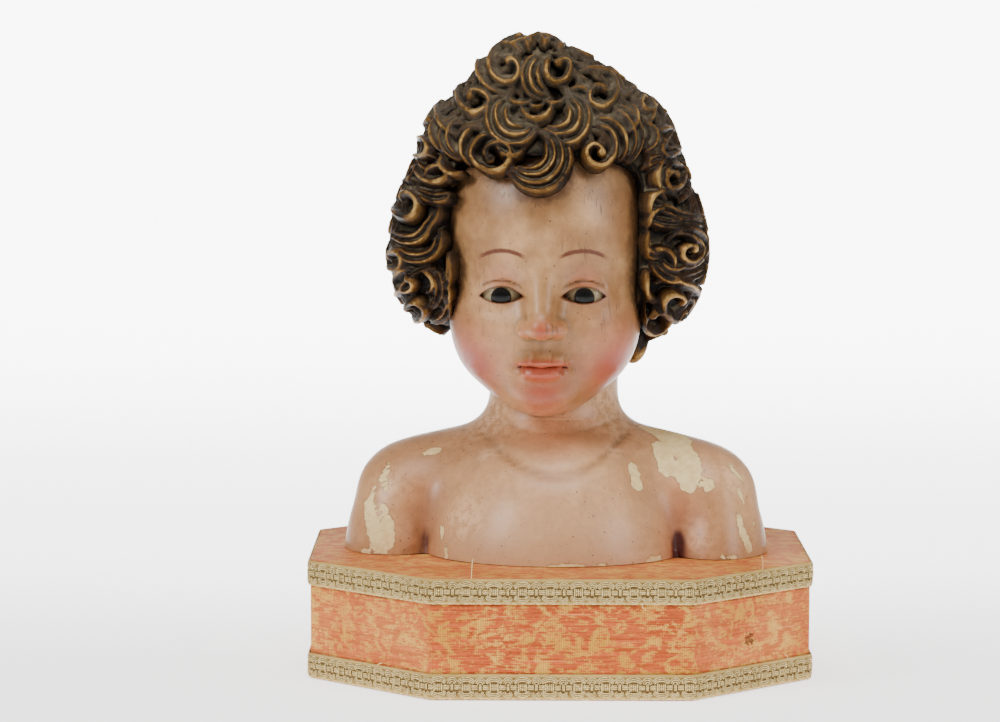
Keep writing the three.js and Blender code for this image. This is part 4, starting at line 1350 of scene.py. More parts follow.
def flesh_material(paint):
    made, tree, shader, where = new_material("painted flesh")
    hollow, from_hair = stored(tree, "hollow"), stored(tree, "from_hair")
    height = put(tree, "ShaderNodeSeparateXYZ", {0: where}).outputs[2]
    broad = between(tree, noise(tree, where, 22.0, 3.0), 0.33, 0.62)
    fine = noise(tree, where, 260.0, 5.0, 0.65)
    face = mixed(tree, broad, colour(paint.face), colour(paint.face_shade))
    chest = mixed(tree, broad, colour(paint.chest), colour(paint.chest_shade))
    base = mixed(tree, between(tree, height, 0.128, 0.150), chest, face)
    # The neck's pink, heavier down the middle of the front: there it is painted shade under the chin.
    neck_band = maths(tree, "MULTIPLY", between(tree, height, 0.112, 0.124), between(tree, height, 0.150, 0.136))
    base = mixed(tree, maths(tree, "MULTIPLY", neck_band, stored(tree, "throat_pink_and_shade")), base, colour(paint.neck))
    # The rose of cheeks, chin, nose and lids, and the halo of the armpits' painted shade.
    base = mixed(tree, maths(tree, "MULTIPLY", stored(tree, "blush"), 0.95), base, colour(paint.rose))
    base = mixed(tree, between(tree, stored(tree, "blush"), 0.5, 1.0, (0.0, 0.5)), base, colour(paint.rose_deep))
    mottled = mixed(tree, between(tree, fine, 0.3, 0.7), (0.80, 0.76, 0.72, 1), (1.12, 1.12, 1.12, 1))
    base = mixed(tree, 0.55, base, mottled, "MULTIPLY")
    # Darker in the hollows: partly grime, partly painted shade round the nose, brows and mouth; less near the mouth
    # and low on the neck and chest.
    wear = effect(tree, "Wear and Grime", {"Vector": where, "Hollow": hollow, "Reach": 0.9, "Scale": 150.0}).outputs
    mouth_near = between(tree, stored(tree, "mouth"), 7.0, 14.0, (0.2, 0.72))
    mouth_near = maths(tree, "MULTIPLY", mouth_near, between(tree, height, 0.130, 0.142, (0.3, 1.0)))
    base = mixed(tree, maths(tree, "MULTIPLY", wear["Grime"], mouth_near), base, colour(paint.grime_and_shade))
    # Painted shadow of the locks on the forehead: broad and faint in the grime colour, narrow and brown right under
    # the locks.
    shade = maths(tree, "ADD", from_hair, maths(tree, "MULTIPLY", maths(tree, "SUBTRACT", fine, 0.5), 6.0))
    base = mixed(tree, maths(tree, "MULTIPLY", between(tree, shade, 22.0, 2.0), 0.3), base, colour(paint.grime_and_shade))
    base = mixed(tree, maths(tree, "MULTIPLY", between(tree, shade, 6.5, 1.0), 0.8), base, colour(paint.hair_shadow))
    low = between(tree, height, 0.150, 0.130, (0.0, 0.55))
    dust = effect(tree, "Settled Dust", {"Vector": where, "Hollow": hollow, "Share": low}).outputs[0]
    base = mixed(tree, dust, base, colour(paint.grime_and_shade))
    # Paler low on the chest and on the convex edges below the face: rubbed paint, with painted light and painted
    # highlights.
    rubbed = maths(tree, "MULTIPLY", between(tree, height, 0.115, 0.07), between(tree, broad, 0.2, 0.8, (0.1, 0.4)))
    edges = maths(tree, "MULTIPLY", wear["Crest"], between(tree, height, 0.16, 0.14, (0.0, 0.35)))
    rubbed = maths(tree, "MAXIMUM", rubbed, edges)
    rubbed = maths(tree, "MULTIPLY", rubbed, stored(tree, "breast"))
    # Pale patches: rubbed paint, and painted light and highlights.
    patchy = maths(tree, "MULTIPLY", stored(tree, "rub_and_light"), between(tree, fine, 0.38, 0.6, (0.25, 0.8)))
    base = mixed(tree, maths(tree, "MAXIMUM", rubbed, patchy), base, colour(paint.rubbed))
    # Painted shade in the armpits' creases.
    crease = maths(tree, "ADD", stored(tree, "crease"), maths(tree, "MULTIPLY", maths(tree, "SUBTRACT", fine, 0.5), 0.25))
    base = mixed(tree, between(tree, crease, 0.15, 0.7), base, colour(paint.crease))
    cracks = effect(tree, "Grain Cracks", {"Vector": where, "Scale": 800.0, "Share": 0.62}).outputs[0]
    cracks = maths(tree, "MULTIPLY", cracks, between(tree, height, 0.12, 0.2, (0.12, 0.9)))
    base = mixed(tree, cracks, base, colour(paint.grime_and_shade))
    specks = effect(tree, "Specks", {"Vector": where, "Scale": 480.0, "Share": 0.15}).outputs[0]
    base = mixed(tree, maths(tree, "MULTIPLY", specks, 0.75), base, colour(paint.speck))
    dots = effect(tree, "Specks", {"Vector": where, "Scale": 760.0, "Share": 0.2}).outputs[0]
    base = mixed(tree, maths(tree, "MULTIPLY", dots, 0.55), base, colour(paint.grime_and_shade))
    brush = maths(tree, "MULTIPLY", maths(tree, "SUBTRACT", noise(tree, where, 700.0, 2.0), 0.5), 0.9)
    thin = maths(tree, "ADD", maths(tree, "ABSOLUTE", stored(tree, "brow")), brush)
    brow = maths(tree, "MULTIPLY", between(tree, thin, 1.7, 0.6), stored(tree, "brow_part"))
    base = mixed(tree, maths(tree, "MULTIPLY", brow, 0.97), base, colour(paint.brow))
    rim = stored(tree, "eye_rim")
    base = mixed(tree, maths(tree, "MULTIPLY", between(tree, rim, 4.5, 0.5), 0.35), base, colour(paint.lid))
    base = mixed(tree, maths(tree, "MULTIPLY", between(tree, rim, 1.0, 0.2), 0.85), base, colour(paint.brow))
    lip_edge = maths(tree, "ADD", stored(tree, "lip"), maths(tree, "MULTIPLY", brush, 1.5))
    base = mixed(tree, maths(tree, "MULTIPLY", between(tree, lip_edge, 1.0, -1.4), 0.8), base, colour(paint.lip))
    base = mixed(tree, between(tree, stored(tree, "mouth"), 0.95, 0.2), base, colour(paint.crease))
    inputs = {"Vector": where, "Distance": stored(tree, "loss"), "Raggedness": 1.5, "Scale": 210.0}
    loss = effect(tree, "Ragged Edge", inputs).outputs
    gesso = mixed(tree, between(tree, fine, 0.35, 0.65), colour(paint.gesso), colour(paint.gesso_stain))
    base = mixed(tree, maths(tree, "MULTIPLY", loss["Rim"], 0.2), base, colour(paint.grime_and_shade))
    base = mixed(tree, loss["Mask"], base, gesso)
    tiny = noise(tree, where, 1400.0, 3.0, 0.6)
    rough = maths(tree, "ADD", between(tree, fine, 0.3, 0.7, (0.27, 0.46)), between(tree, tiny, 0.35, 0.65, (0.0, 0.12)))
    rough = maths(tree, "ADD", rough, maths(tree, "MULTIPLY", loss["Mask"], 0.4))
    rough = maths(tree, "ADD", rough, maths(tree, "MULTIPLY", wear["Grime"], 0.2), clamp=True)
    ground = maths(tree, "MULTIPLY", loss["Mask"], -3.0)
    ground = maths(tree, "ADD", ground, maths(tree, "MULTIPLY", cracks, -0.6))
    ground = maths(tree, "ADD", ground, maths(tree, "MULTIPLY", noise(tree, where, 90.0, 4.0, 0.5), 0.9))
    ground = maths(tree, "ADD", ground, maths(tree, "MULTIPLY", fine, 0.8))
    ground = maths(tree, "ADD", ground, maths(tree, "MULTIPLY", tiny, 0.25))
    shine = maths(tree, "SUBTRACT", 1.0, loss["Mask"])
    finish_shader(
        tree,
        shader,
        {
            "Base Color": base,
            "Roughness": rough,
            "Normal": bumped(tree, ground, 0.00022),
            "Coat Weight": maths(tree, "MULTIPLY", shine, 0.22),
            "Coat Roughness": 0.28,
            "Specular IOR Level": 0.45,
        },
    )
    return made


def hair_material(paint):
    made, tree, shader, where = new_material("painted and gilded hair")
    hollow, height = stored(tree, "hollow"), stored(tree, "height")
    patches = noise(tree, where, 60.0, 4.0, 0.6)
    fine = noise(tree, where, 420.0, 4.0, 0.65)
    umber = mixed(tree, between(tree, patches, 0.35, 0.65), colour(paint.umber), colour(paint.umber_light))
    wear = effect(tree, "Wear and Grime", {"Vector": where, "Hollow": hollow, "Reach": 0.7, "Threshold": 0.4, "Scale": 180.0}).outputs
    # Painted shade: the ground between the locks and the hollows darkened to near black, with their grime.
    deep = between(tree, height, 1.0, -1.8)
    deep = maths(tree, "MAXIMUM", deep, maths(tree, "MULTIPLY", wear["Grime"], 0.9))
    # Paler towards the top of the head: the dust colour is mixed in above a height, in patches.
    above = put(tree, "ShaderNodeSeparateXYZ", {0: where}).outputs[2]
    above = maths(tree, "MULTIPLY", between(tree, above, 0.276, 0.304), between(tree, fine, 0.3, 0.65, (0.08, 0.34)))
    umber = mixed(tree, above, umber, colour(paint.dust))
    base = mixed(tree, deep, umber, colour(paint.recess_shade))
    high = between(tree, height, 1.5, 5.0)
    crest = maths(tree, "MULTIPLY", wear["Crest"], maths(tree, "ADD", maths(tree, "MULTIPLY", high, 0.85), 0.15))
    crest = maths(tree, "MULTIPLY", crest, between(tree, patches, 0.28, 0.55))
    base = mixed(tree, maths(tree, "MULTIPLY", between(tree, crest, 0.0, 0.5), 0.85), base, colour(paint.gold))
    rubbed = maths(tree, "ADD", maths(tree, "MULTIPLY", crest, 0.75), maths(tree, "MULTIPLY", fine, 0.5))
    rubbed = maths(tree, "ADD", rubbed, maths(tree, "MULTIPLY", noise(tree, where, 95.0, 3.0, 0.6), 0.5))
    base = mixed(tree, maths(tree, "MULTIPLY", between(tree, rubbed, 1.0, 1.3), 0.8), base, colour(paint.gold_worn))
    dust = effect(tree, "Settled Dust", {"Vector": where, "Hollow": hollow, "Share": 0.95}).outputs[0]
    base = mixed(tree, dust, base, colour(paint.dust))
    gilt = between(tree, crest, 0.1, 0.6)
    rough = between(tree, fine, 0.3, 0.7, (0.36, 0.56))
    rough = maths(tree, "ADD", rough, maths(tree, "MULTIPLY", maths(tree, "ADD", dust, deep), 0.3), clamp=True)
    ground = maths(tree, "ADD", fine, maths(tree, "MULTIPLY", noise(tree, where, 1100.0, 2.0), 0.5))
    finish_shader(
        tree,
        shader,
        {
            "Base Color": base,
            "Metallic": maths(tree, "MULTIPLY", gilt, 0.5),
            "Roughness": rough,
            "Normal": bumped(tree, ground, 0.00025),
            "Specular IOR Level": 0.14,
        },
    )
    return made


def eye_material(paint):
    """A glass eye painted behind its curve: pupil and iris by the distance from its axis."""
    made, tree, shader, where = new_material("painted glass eye")
    turned = stored(tree, "from_axis")
    fine = noise(tree, where, 900.0, 3.0)
    white = mixed(tree, between(tree, fine, 0.3, 0.7), colour(paint.eye_white), colour(paint.eye_yellow))
    white = mixed(tree, between(tree, turned, 8.6, 11.5), white, colour(paint.grime_and_shade))
    iris = mixed(tree, between(tree, turned, 2.0, 5.2), colour(paint.pupil), colour(paint.iris))
    base = mixed(tree, between(tree, turned, 5.1, 5.9), iris, white)
    finish_shader(
        tree,
        shader,
        {
            "Base Color": base,
            "Roughness": between(tree, fine, 0.3, 0.7, (0.10, 0.2)),
            "Specular IOR Level": 0.3,
            "Coat Weight": 0.3,
            "Coat Roughness": 0.04,
        },
    )
    return made


def sine(tree, value, pitch, low=0.0, high=1.0):
    """A wave over a length in metres, from low to high."""
    turned = maths(tree, "SINE", maths(tree, "MULTIPLY", value, 2 * np.pi / pitch))
    return put(tree, "ShaderNodeMapRange", {0: turned, 1: -1.0, 2: 1.0, 3: low, 4: high}).outputs[0]


def woven(tree):
    """The piece's UV map in metres: the vector, the distance round the plinth and the height."""
    vector = put(tree, "ShaderNodeUVMap", uv_map="weave").outputs[0]
    apart = put(tree, "ShaderNodeSeparateXYZ", {0: vector}).outputs
    return vector, apart[0], apart[1]


def brocatelle_material(paint):
    """Coral weft floats on a gold ribbed ground, its leaves stepped thread by thread, with pale broken threads."""
    made, tree, shader, where = new_material("brocatelle")
    weave, u, v = woven(tree)
    stepped = put(tree, "ShaderNodeVectorMath", {0: weave, 1: (0.0005, 0.0006, 1.0)}, operation="SNAP").outputs[0]
    leaves = noise(tree, stretched(tree, stepped, (95, 125, 1)), 1.0, 2.0, 0.5, 1.4)
    jagged = noise(tree, stretched(tree, stepped, (150, 1100, 1)), 1.0, 3.0, 0.75)
    leaves = maths(tree, "ADD", leaves, maths(tree, "MULTIPLY", maths(tree, "SUBTRACT", jagged, 0.5), 1.0))
    ground = between(tree, leaves, 0.45, 0.62)
    streak = noise(tree, stretched(tree, stepped, (26, 950, 1)), 1.0, 3.0, 0.6)
    broad = noise(tree, weave, 24.0, 3.0)
    coral = mixed(tree, between(tree, streak, 0.4, 0.62), colour(paint.coral), colour(paint.coral_deep))
    rising, falling = maths(tree, "ADD", u, v), maths(tree, "SUBTRACT", u, v)
    dots = maths(tree, "MULTIPLY", sine(tree, rising, 0.0013), sine(tree, falling, 0.0011))
    coral = mixed(tree, maths(tree, "MULTIPLY", dots, 0.45), coral, colour(paint.ground))
    gold = mixed(tree, between(tree, broad, 0.35, 0.65), colour(paint.ground), colour(paint.ground_pale))
    gold = mixed(tree, sine(tree, u, 0.00115, 0.0, 0.55), gold, colour(paint.rib))
    strays = between(tree, noise(tree, stretched(tree, stepped, (180, 1100, 1)), 1.0, 1.0), 0.62, 0.7)
    gold = mixed(tree, maths(tree, "MULTIPLY", strays, 0.6), gold, colour(paint.coral))
    base = mixed(tree, ground, coral, gold)
    # Paler by the stored share: painted light on the top and the corner facets, with some fading.
    fade_and_light = maths(tree, "MULTIPLY", stored(tree, "fade_and_light"), between(tree, broad, 0.35, 0.6, (0.1, 0.38)))
    base = mixed(tree, fade_and_light, base, colour(paint.faded_and_lit))
    pale = between(tree, noise(tree, stretched(tree, weave, (15, 900, 1)), 1.0, 1.0), 0.69, 0.73)
    base = mixed(tree, maths(tree, "MULTIPLY", pale, 0.7), base, colour(paint.weft))
    worn = noise(tree, stretched(tree, weave, (700, 350, 1)), 1.0, 4.0, 0.7)
    mottled = mixed(tree, between(tree, worn, 0.3, 0.7), (0.72, 0.7, 0.68, 1), (1.16, 1.16, 1.16, 1))
    base = mixed(tree, 0.6, base, mottled, "MULTIPLY")
    eaten = noise(tree, weave, 520.0, 3.0, 0.6)
    near = between(tree, stored(tree, "moth"), 7.5, 2.0)
    rust = between(tree, maths(tree, "ADD", eaten, maths(tree, "MULTIPLY", near, 0.3)), 0.70, 0.78)
    base = mixed(tree, maths(tree, "MULTIPLY", rust, 0.9), base, colour(paint.rust))
    # A painted shadow: a thin dark line in the rust colour under the upper braid's lower edge; near the foot, a brown
    # trace along the cloth's edge.
    edge = maths(tree, "ABSOLUTE", maths(tree, "SUBTRACT", v, 0.0498))
    edge = maths(tree, "MAXIMUM", between(tree, v, 0.0020, 0.0002), between(tree, edge, 0.0012, 0.0004))
    edge = maths(tree, "MULTIPLY", edge, between(tree, noise(tree, weave, 130.0, 3.0), 0.35, 0.6, (0.1, 0.75)))
    base = mixed(tree, edge, base, colour(paint.rust))
    specks = effect(tree, "Specks", {"Vector": weave, "Scale": 420.0, "Share": 0.05}).outputs[0]
    base = mixed(tree, maths(tree, "MULTIPLY", specks, 0.55), base, colour(paint.rust))
    ribs = maths(tree, "MULTIPLY", sine(tree, u, 0.00058), ground)
    floats = maths(tree, "MULTIPLY", sine(tree, v, 0.0006), maths(tree, "SUBTRACT", 1.0, ground))
    height = maths(tree, "ADD", maths(tree, "ADD", ribs, floats), maths(tree, "MULTIPLY", rust, -2.0))
    finish_shader(
        tree,
        shader,
        {
            "Base Color": base,
            "Roughness": between(tree, worn, 0.3, 0.7, (0.55, 0.8)),
            "Normal": bumped(tree, height, 0.00012, 0.8),
            "Sheen Weight": 0.08,
            "Sheen Roughness": 0.4,
            "Sheen Tint": (1.0, 0.66, 0.4, 1),
            "Specular IOR Level": 0.12,
        },
    )
    return made


def braid_material(paint):
    """Khaki yarn: a ribbed tape with painted shade under the cords, and cords rubbed paler in places, with painted
    shade on their flanks and undersides.
    """
    made, tree, shader, where = new_material("braid")
    weave, u, v = woven(tree)
    cord = stored(tree, "cord")
    patches = noise(tree, weave, 38.0, 3.0)
    fine = noise(tree, stretched(tree, weave, (900, 900, 1)), 1.0, 3.0, 0.6)
    yarn = mixed(tree, between(tree, patches, 0.35, 0.65), colour(paint.yarn), colour(paint.yarn_shade))
    # Painted shade on the tape under the cords' middle band, kept off its raised margins.
    off_middle = maths(tree, "ABSOLUTE", maths(tree, "SUBTRACT", v, BRAID_MIDDLE * MM))
    under = between(tree, off_middle, 0.0046, 0.0030, (0.45, 0.97))
    margin = maths(tree, "MAXIMUM", between(tree, v, 0.0113, 0.0119), between(tree, v, 0.0016, 0.0010))
    under = maths(tree, "MULTIPLY", under, maths(tree, "SUBTRACT", 1.0, margin))
    tape = mixed(tree, under, yarn, colour(paint.yarn_deep_and_shade))
    rib = sine(tree, u, 0.00056)
    tape = mixed(tree, maths(tree, "MULTIPLY", rib, 0.42), tape, colour(paint.yarn_deep_and_shade))
    fuzz = maths(tree, "MULTIPLY", between(tree, v, 0.0013, 0.0003), between(tree, fine, 0.4, 0.6))
    tape = mixed(tree, maths(tree, "MULTIPLY", fuzz, 0.7), tape, colour(paint.yarn_pale))
    rubbed = mixed(tree, between(tree, fine, 0.36, 0.62), yarn, colour(paint.yarn_pale))
    # Painted shade on the cords' flanks and undersides, between the cords.
    rubbed = mixed(tree, between(tree, stored(tree, "crest"), 0.34, 0.08, (0.0, 0.9)), rubbed, colour(paint.yarn_deep_and_shade))
    base = mixed(tree, between(tree, cord, 0.2, 0.8), tape, rubbed)
    base = mixed(tree, between(tree, cord, 1.2, 1.8), base, colour(paint.yarn_pale))
    dirt = between(tree, noise(tree, weave, 110.0, 4.0, 0.65), 0.56, 0.75)
    base = mixed(tree, maths(tree, "MULTIPLY", dirt, 0.35), base, colour(paint.yarn_deep_and_shade))
    twist = sine(tree, maths(tree, "ADD", maths(tree, "MULTIPLY", u, 0.8), v), 0.0005)
    height = maths(tree, "ADD", maths(tree, "MULTIPLY", maths(tree, "SUBTRACT", 1.0, cord), rib), twist)
    finish_shader(
        tree,
        shader,
        {
            "Base Color": base,
            "Roughness": between(tree, fine, 0.3, 0.7, (0.6, 0.85)),
            "Normal": bumped(tree, height, 0.0001, 0.7),
            "Sheen Weight": 0.08,
            "Specular IOR Level": 0.2,
        },
    )
    return made


def wood_material(paint):
    """Rough softwood for the block: growth rings about a line below the plinth, stretched along X."""
    made, tree, shader, where = new_material("plinth wood")
    bent = noise(tree, stretched(tree, where, (3, 14, 14)), 1.0, 3.0)
    apart = put(tree, "ShaderNodeSeparateXYZ", {0: where}).outputs
    from_heart = maths(tree, "SQRT", maths(tree, "ADD", maths(tree, "POWER", apart[1], 2.0), maths(tree, "POWER", maths(tree, "ADD", apart[2], 0.06), 2.0)))
    rings = sine(tree, maths(tree, "ADD", from_heart, maths(tree, "MULTIPLY", bent, 0.02)), 0.0052)
    fibre = noise(tree, stretched(tree, where, (20, 900, 900)), 1.0, 3.0, 0.6)
    base = mixed(tree, rings, colour(paint.wood), colour(paint.wood_dark))
    base = mixed(tree, maths(tree, "MULTIPLY", between(tree, fibre, 0.45, 0.7), 0.6), base, colour(paint.wood_dark))
    stain = between(tree, noise(tree, where, 18.0, 5.0, 0.6), 0.52, 0.72)
    base = mixed(tree, maths(tree, "MULTIPLY", stain, 0.5), base, colour(paint.grime_and_shade))
    height = maths(tree, "ADD", rings, fibre)
    finish_shader(
        tree,
        shader,
        {
            "Base Color": base,
            "Roughness": between(tree, fibre, 0.3, 0.7, (0.65, 0.85)),
            "Normal": bumped(tree, height, 0.0002, 0.6),
            "Specular IOR Level": 0.3,
        },
    )
    return made


# The sizes and colours that a user would change


def shade(name, text, default):
    return FloatVectorProperty(name=name, description=text, subtype="COLOR", size=3, min=0, max=1, default=default)


class BustPaint(bpy.types.PropertyGroup):
    """Colours of the painted wood, as linear values."""

    face: shade("Face", "Flesh of the face", (0.61, 0.335, 0.148))
    face_shade: shade("Face, darker", "Broad darker areas of the face", (0.33, 0.15, 0.05))
    chest: shade("Chest", "Flesh of the chest and shoulders", (0.65, 0.35, 0.16))
    chest_shade: shade("Chest, darker", "Broad darker areas of the chest", (0.49, 0.235, 0.098))
    # Down the middle of the neck's front this colour is also painted shade under the chin.
    neck: shade("Neck", "The pink of the neck", (0.60, 0.24, 0.115))
    rose_deep: shade("Deep rose", "The middle of the rose", (0.28, 0.028, 0.008))
    # Also painted light and painted highlights on the neck and chest.
    rubbed: shade("Rubbed", "Flesh rubbed pale on the edges and low on the chest", (0.86, 0.54, 0.30))
    rose: shade("Rose", "Blush on cheeks, chin and nose", (0.46, 0.05, 0.015))
    lip: shade("Lips", "The lips' red", (0.46, 0.075, 0.035))
    lid: shade("Lids", "Shading round the eyes", (0.30, 0.14, 0.075))
    brow: shade("Brows", "Brows and the lids' edges", (0.12, 0.022, 0.003))
    # Also painted shade: in the flesh's hollows and, broadly, under the locks on the forehead.
    grime_and_shade: shade("Grime", "Dirt in the hollows of the flesh", (0.15, 0.075, 0.03))
    speck: shade("Specks", "Small dark spots", (0.09, 0.045, 0.022))
    # In the armpits this colour is painted shade.
    crease: shade("Crease", "Armpits and the line of the mouth", (0.07, 0.008, 0.003))
    hair_shadow: shade("Hairline", "Brown painted under the locks", (0.12, 0.055, 0.025))
    gesso: shade("Ground", "The pale ground where the paint is lost", (0.90, 0.69, 0.33))
    gesso_stain: shade("Ground, stained", "Stains on the pale ground", (0.78, 0.55, 0.24))
    umber: shade("Umber", "The hair's dark brown", (0.011, 0.005, 0.002))
    umber_light: shade("Umber, lighter", "Warmer areas of the hair", (0.030, 0.012, 0.004))
    # Painted shade between the locks, with their grime.
    recess_shade: shade("Recesses", "Deep between the locks", (0.004, 0.003, 0.002))
    gold: shade("Gold", "Old gold on the locks' crests", (0.16, 0.078, 0.02))
    gold_worn: shade("Gold, worn", "Where the crests are rubbed bright", (0.46, 0.28, 0.09))
    dust: shade("Dust", "Grey-green dust in the hair", (0.19, 0.15, 0.09))
    eye_white: shade("Eye", "The white of the eyes", (0.42, 0.34, 0.20))
    eye_yellow: shade("Eye, yellowed", "Yellowed patches of the white", (0.30, 0.22, 0.11))
    iris: shade("Iris", "The iris", (0.014, 0.011, 0.008))
    pupil: shade("Pupil", "The pupil", (0.004, 0.004, 0.004))
    coral: shade("Coral", "Weft that floats on the cloth's face", (0.60, 0.095, 0.032))
    coral_deep: shade("Coral, deeper", "Deeper streaks of the weft", (0.37, 0.036, 0.012))
    ground: shade("Cloth ground", "The cloth's gold ribbed ground", (0.70, 0.33, 0.04))
    ground_pale: shade("Cloth ground, paler", "Paler patches of the ground", (0.84, 0.46, 0.09))
    rib: shade("Ribs", "Between the ribs of the ground", (0.33, 0.14, 0.02))
    weft: shade("Pale weft", "Single pale threads", (0.84, 0.38, 0.13))
    # Also painted light on the cloth's top and corner facets.
    faded_and_lit: shade("Faded cloth", "What light has bleached", (0.94, 0.42, 0.12))
    # Also the painted shadow under the upper braid.
    rust: shade("Rust", "Moth-eaten edges and rusty stains", (0.14, 0.035, 0.008))
    yarn: shade("Yarn", "The braid's khaki yarn", (0.66, 0.45, 0.145))
    yarn_shade: shade("Yarn, darker", "Darker areas of the yarn", (0.52, 0.335, 0.095))
    yarn_pale: shade("Yarn, rubbed", "Rubbed and loose threads", (0.95, 0.75, 0.35))
    # Also painted shade under and between the cords.
    yarn_deep_and_shade: shade("Yarn, deep", "Between the cords and ribs", (0.19, 0.115, 0.035))
    wood: shade("Block", "The block's raw wood", (0.36, 0.20, 0.085))
    wood_dark: shade("Block, darker", "Late wood and fibres", (0.17, 0.08, 0.03))


class BustSizes(bpy.types.PropertyGroup):
    """How finely the bust is cut."""

    voxel: FloatProperty(
        name="Skin step",
        description="Step of the remesh that melts the locks into one skin",
        default=0.00075,
        min=0.0005,
        max=0.002,
        unit="LENGTH",
        precision=5,
    )


# Operators


def paint():
    return bpy.context.scene.bust_paint


class BUST_OT_carve(bpy.types.Operator):
    """Carve and paint the bust: flesh, locks of hair and the openings for the eyes"""

    bl_idname = "bust.carve"
    bl_label = "Carve the Bust"

    def execute(self, context):
        flesh, hair = flesh_object(), hair_object(context.scene.bust_sizes)
        materials = [flesh_material(paint()), hair_material(paint())]
        for made in (flesh, hair):
            made.data.materials.clear()
            for material in materials:
                made.data.materials.append(material)
        hair.data.polygons.foreach_set("material_index", np.ones(len(hair.data.polygons), np.int32))
        combined(flesh, hair, "UNION")
        store_paint(flesh)
        flesh.data.polygons.foreach_set("use_smooth", np.ones(len(flesh.data.polygons), bool))
        flesh.data.set_sharp_from_angle(angle=np.radians(60))
        settle(flesh, "painted_wood", "bust")
        return {"FINISHED"}


class BUST_OT_eyes(bpy.types.Operator):
    """Set a painted glass eye behind each pair of lids"""

    bl_idname = "bust.eyes"
    bl_label = "Set the Eyes"

    def execute(self, context):
        material = eye_material(paint())
        gaze = placed(np.array((0.0, -1, -0.06)), (0, 0, 0), HEAD_TURN)
        for name, x in (("eye_left", -EYE_X), ("eye_right", EYE_X)):
            middle = eye_middle(x)
            eye = mesh_object(name + "_glass", *ball(middle, EYE_RADIUS, 96, 60))
            out = coordinates(eye.data) - middle
            off = np.linalg.norm(np.cross(out, unit(gaze)), axis=-1)
            set_values(eye.data, "from_axis", np.where(out @ gaze > 0, off, 2 * EYE_RADIUS - off))
            eye.data.polygons.foreach_set("use_smooth", np.ones(len(eye.data.polygons), bool))
            eye.data.materials.append(material)
            settle(eye, "eye_glass", name)
        return {"FINISHED"}


class BUST_OT_block(bpy.types.Operator):
    """Make the wooden block that carries the bust"""

    bl_idname = "bust.block"
    bl_label = "Make the Block"

    def execute(self, context):
        block = mesh_object("block", *block_part())
        block.data.materials.append(wood_material(paint()))
        settle(block, "plinth_wood", "plinth_block")
        return {"FINISHED"}


class BUST_OT_cloth(bpy.types.Operator):
    """Stretch the cloth over the block's top and round its sides"""

    bl_idname = "bust.cloth"
    bl_label = "Cover the Block"

    def execute(self, context):
        material = brocatelle_material(paint())
        for made, node in ((top_cloth(), "cloth_top"), (side_cloth(), "cloth_side")):
            made.data.materials.append(material)
            made.data.polygons.foreach_set("use_smooth", np.ones(len(made.data.polygons), bool))
            settle(made, "brocatelle", node)
        return {"FINISHED"}


class BUST_OT_braid(bpy.types.Operator):
    """Sew the braid round the plinth's upper and lower edges"""

    bl_idname = "bust.braid"
    bl_label = "Sew on the Braid"

    def execute(self, context):
        material, rng = braid_material(paint()), np.random.default_rng(SEED)
        for name, node, loose in (("upper_braid", "braid_top", LOOSE_TOP), ("lower_braid", "braid_bottom", LOOSE_BOTTOM)):
            made = braid_object(name, node, loose, rng)
            made.data.materials.append(material)
            made.data.polygons.foreach_set("use_smooth", np.ones(len(made.data.polygons), bool))
            settle(made, "braid", node)
        return {"FINISHED"}


class BUST_OT_stage(bpy.types.Operator):
    """Lay the pale floor, hang the studio lights and set the camera"""

    bl_idname = "bust.stage"
    bl_label = "Set the Stage"

    def execute(self, context):
        floor = mesh_object("floor", *sweep_surface())
        floor.data.materials.append(sweep_material())
        floor.data.polygons.foreach_set("use_smooth", np.ones(len(floor.data.polygons), bool))
        world = bpy.data.worlds.new("studio")
        world.use_nodes = True
        world.node_tree.nodes["Background"].inputs["Color"].default_value = (1, 0.99, 0.98, 1)
        world.node_tree.nodes["Background"].inputs["Strength"].default_value = WORLD_STRENGTH
        context.scene.world = world
        for name, at, size, power in LIGHTS:
            light = bpy.data.lights.new(name, "AREA")
            light.shape, light.size, light.size_y, light.energy = "RECTANGLE", *size, power
            lamp = bpy.data.objects.new(name, light)
            lamp.location = at
            aimed = Vector(LIT_POINT) - Vector(at)
            lamp.rotation_euler = aimed.to_track_quat("-Z", "Y").to_euler()
            context.scene.collection.objects.link(lamp)
        view = bpy.data.cameras.new("camera")
        view.lens, view.sensor_width, view.clip_end = 133.9, 36, 50
        camera = bpy.data.objects.new("camera", view)
        camera.location = CAMERA_AT
        camera.rotation_euler = tuple(np.radians(CAMERA_TURNS))
        context.scene.collection.objects.link(camera)
        context.scene.camera = camera
        return {"FINISHED"}


def settle(made, slot, *nodes):
    """Hands a finished piece over: it rides with the object and stands for its solids, which are hidden. The slot is
    not used.
    """
    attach(made, "root")
    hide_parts(*nodes)


CAMERA_AT = (-0.0283, -2.016, 0.346)
CAMERA_TURNS = (84.85, -0.15, 0.13)
LIT_POINT = (0, 0, 0.18)
WORLD_STRENGTH = 0.16
LIGHTS = (
    ("key", (-1.45, -1.1, 1.15), (0.6, 0.9), 26),
    ("fill", (1.5, -1.0, 0.75), (0.6, 0.9), 15),
    ("top", (0.0, -0.45, 1.9), (1.0, 0.9), 24),
)

# The floor runs back from the front and turns up into a wall, in millimetres; the part behind the bust glows white
FLOOR_FRONT, FLOOR_BACK, FLOOR_HALF, WALL_TOP, SWEEP_RADIUS = -6000, 2600, 5000, 5000, 900
FLOOR_GLOW, MIDDLE_GLOW, WALL_GLOW = 1.6, 3.6, 7.5


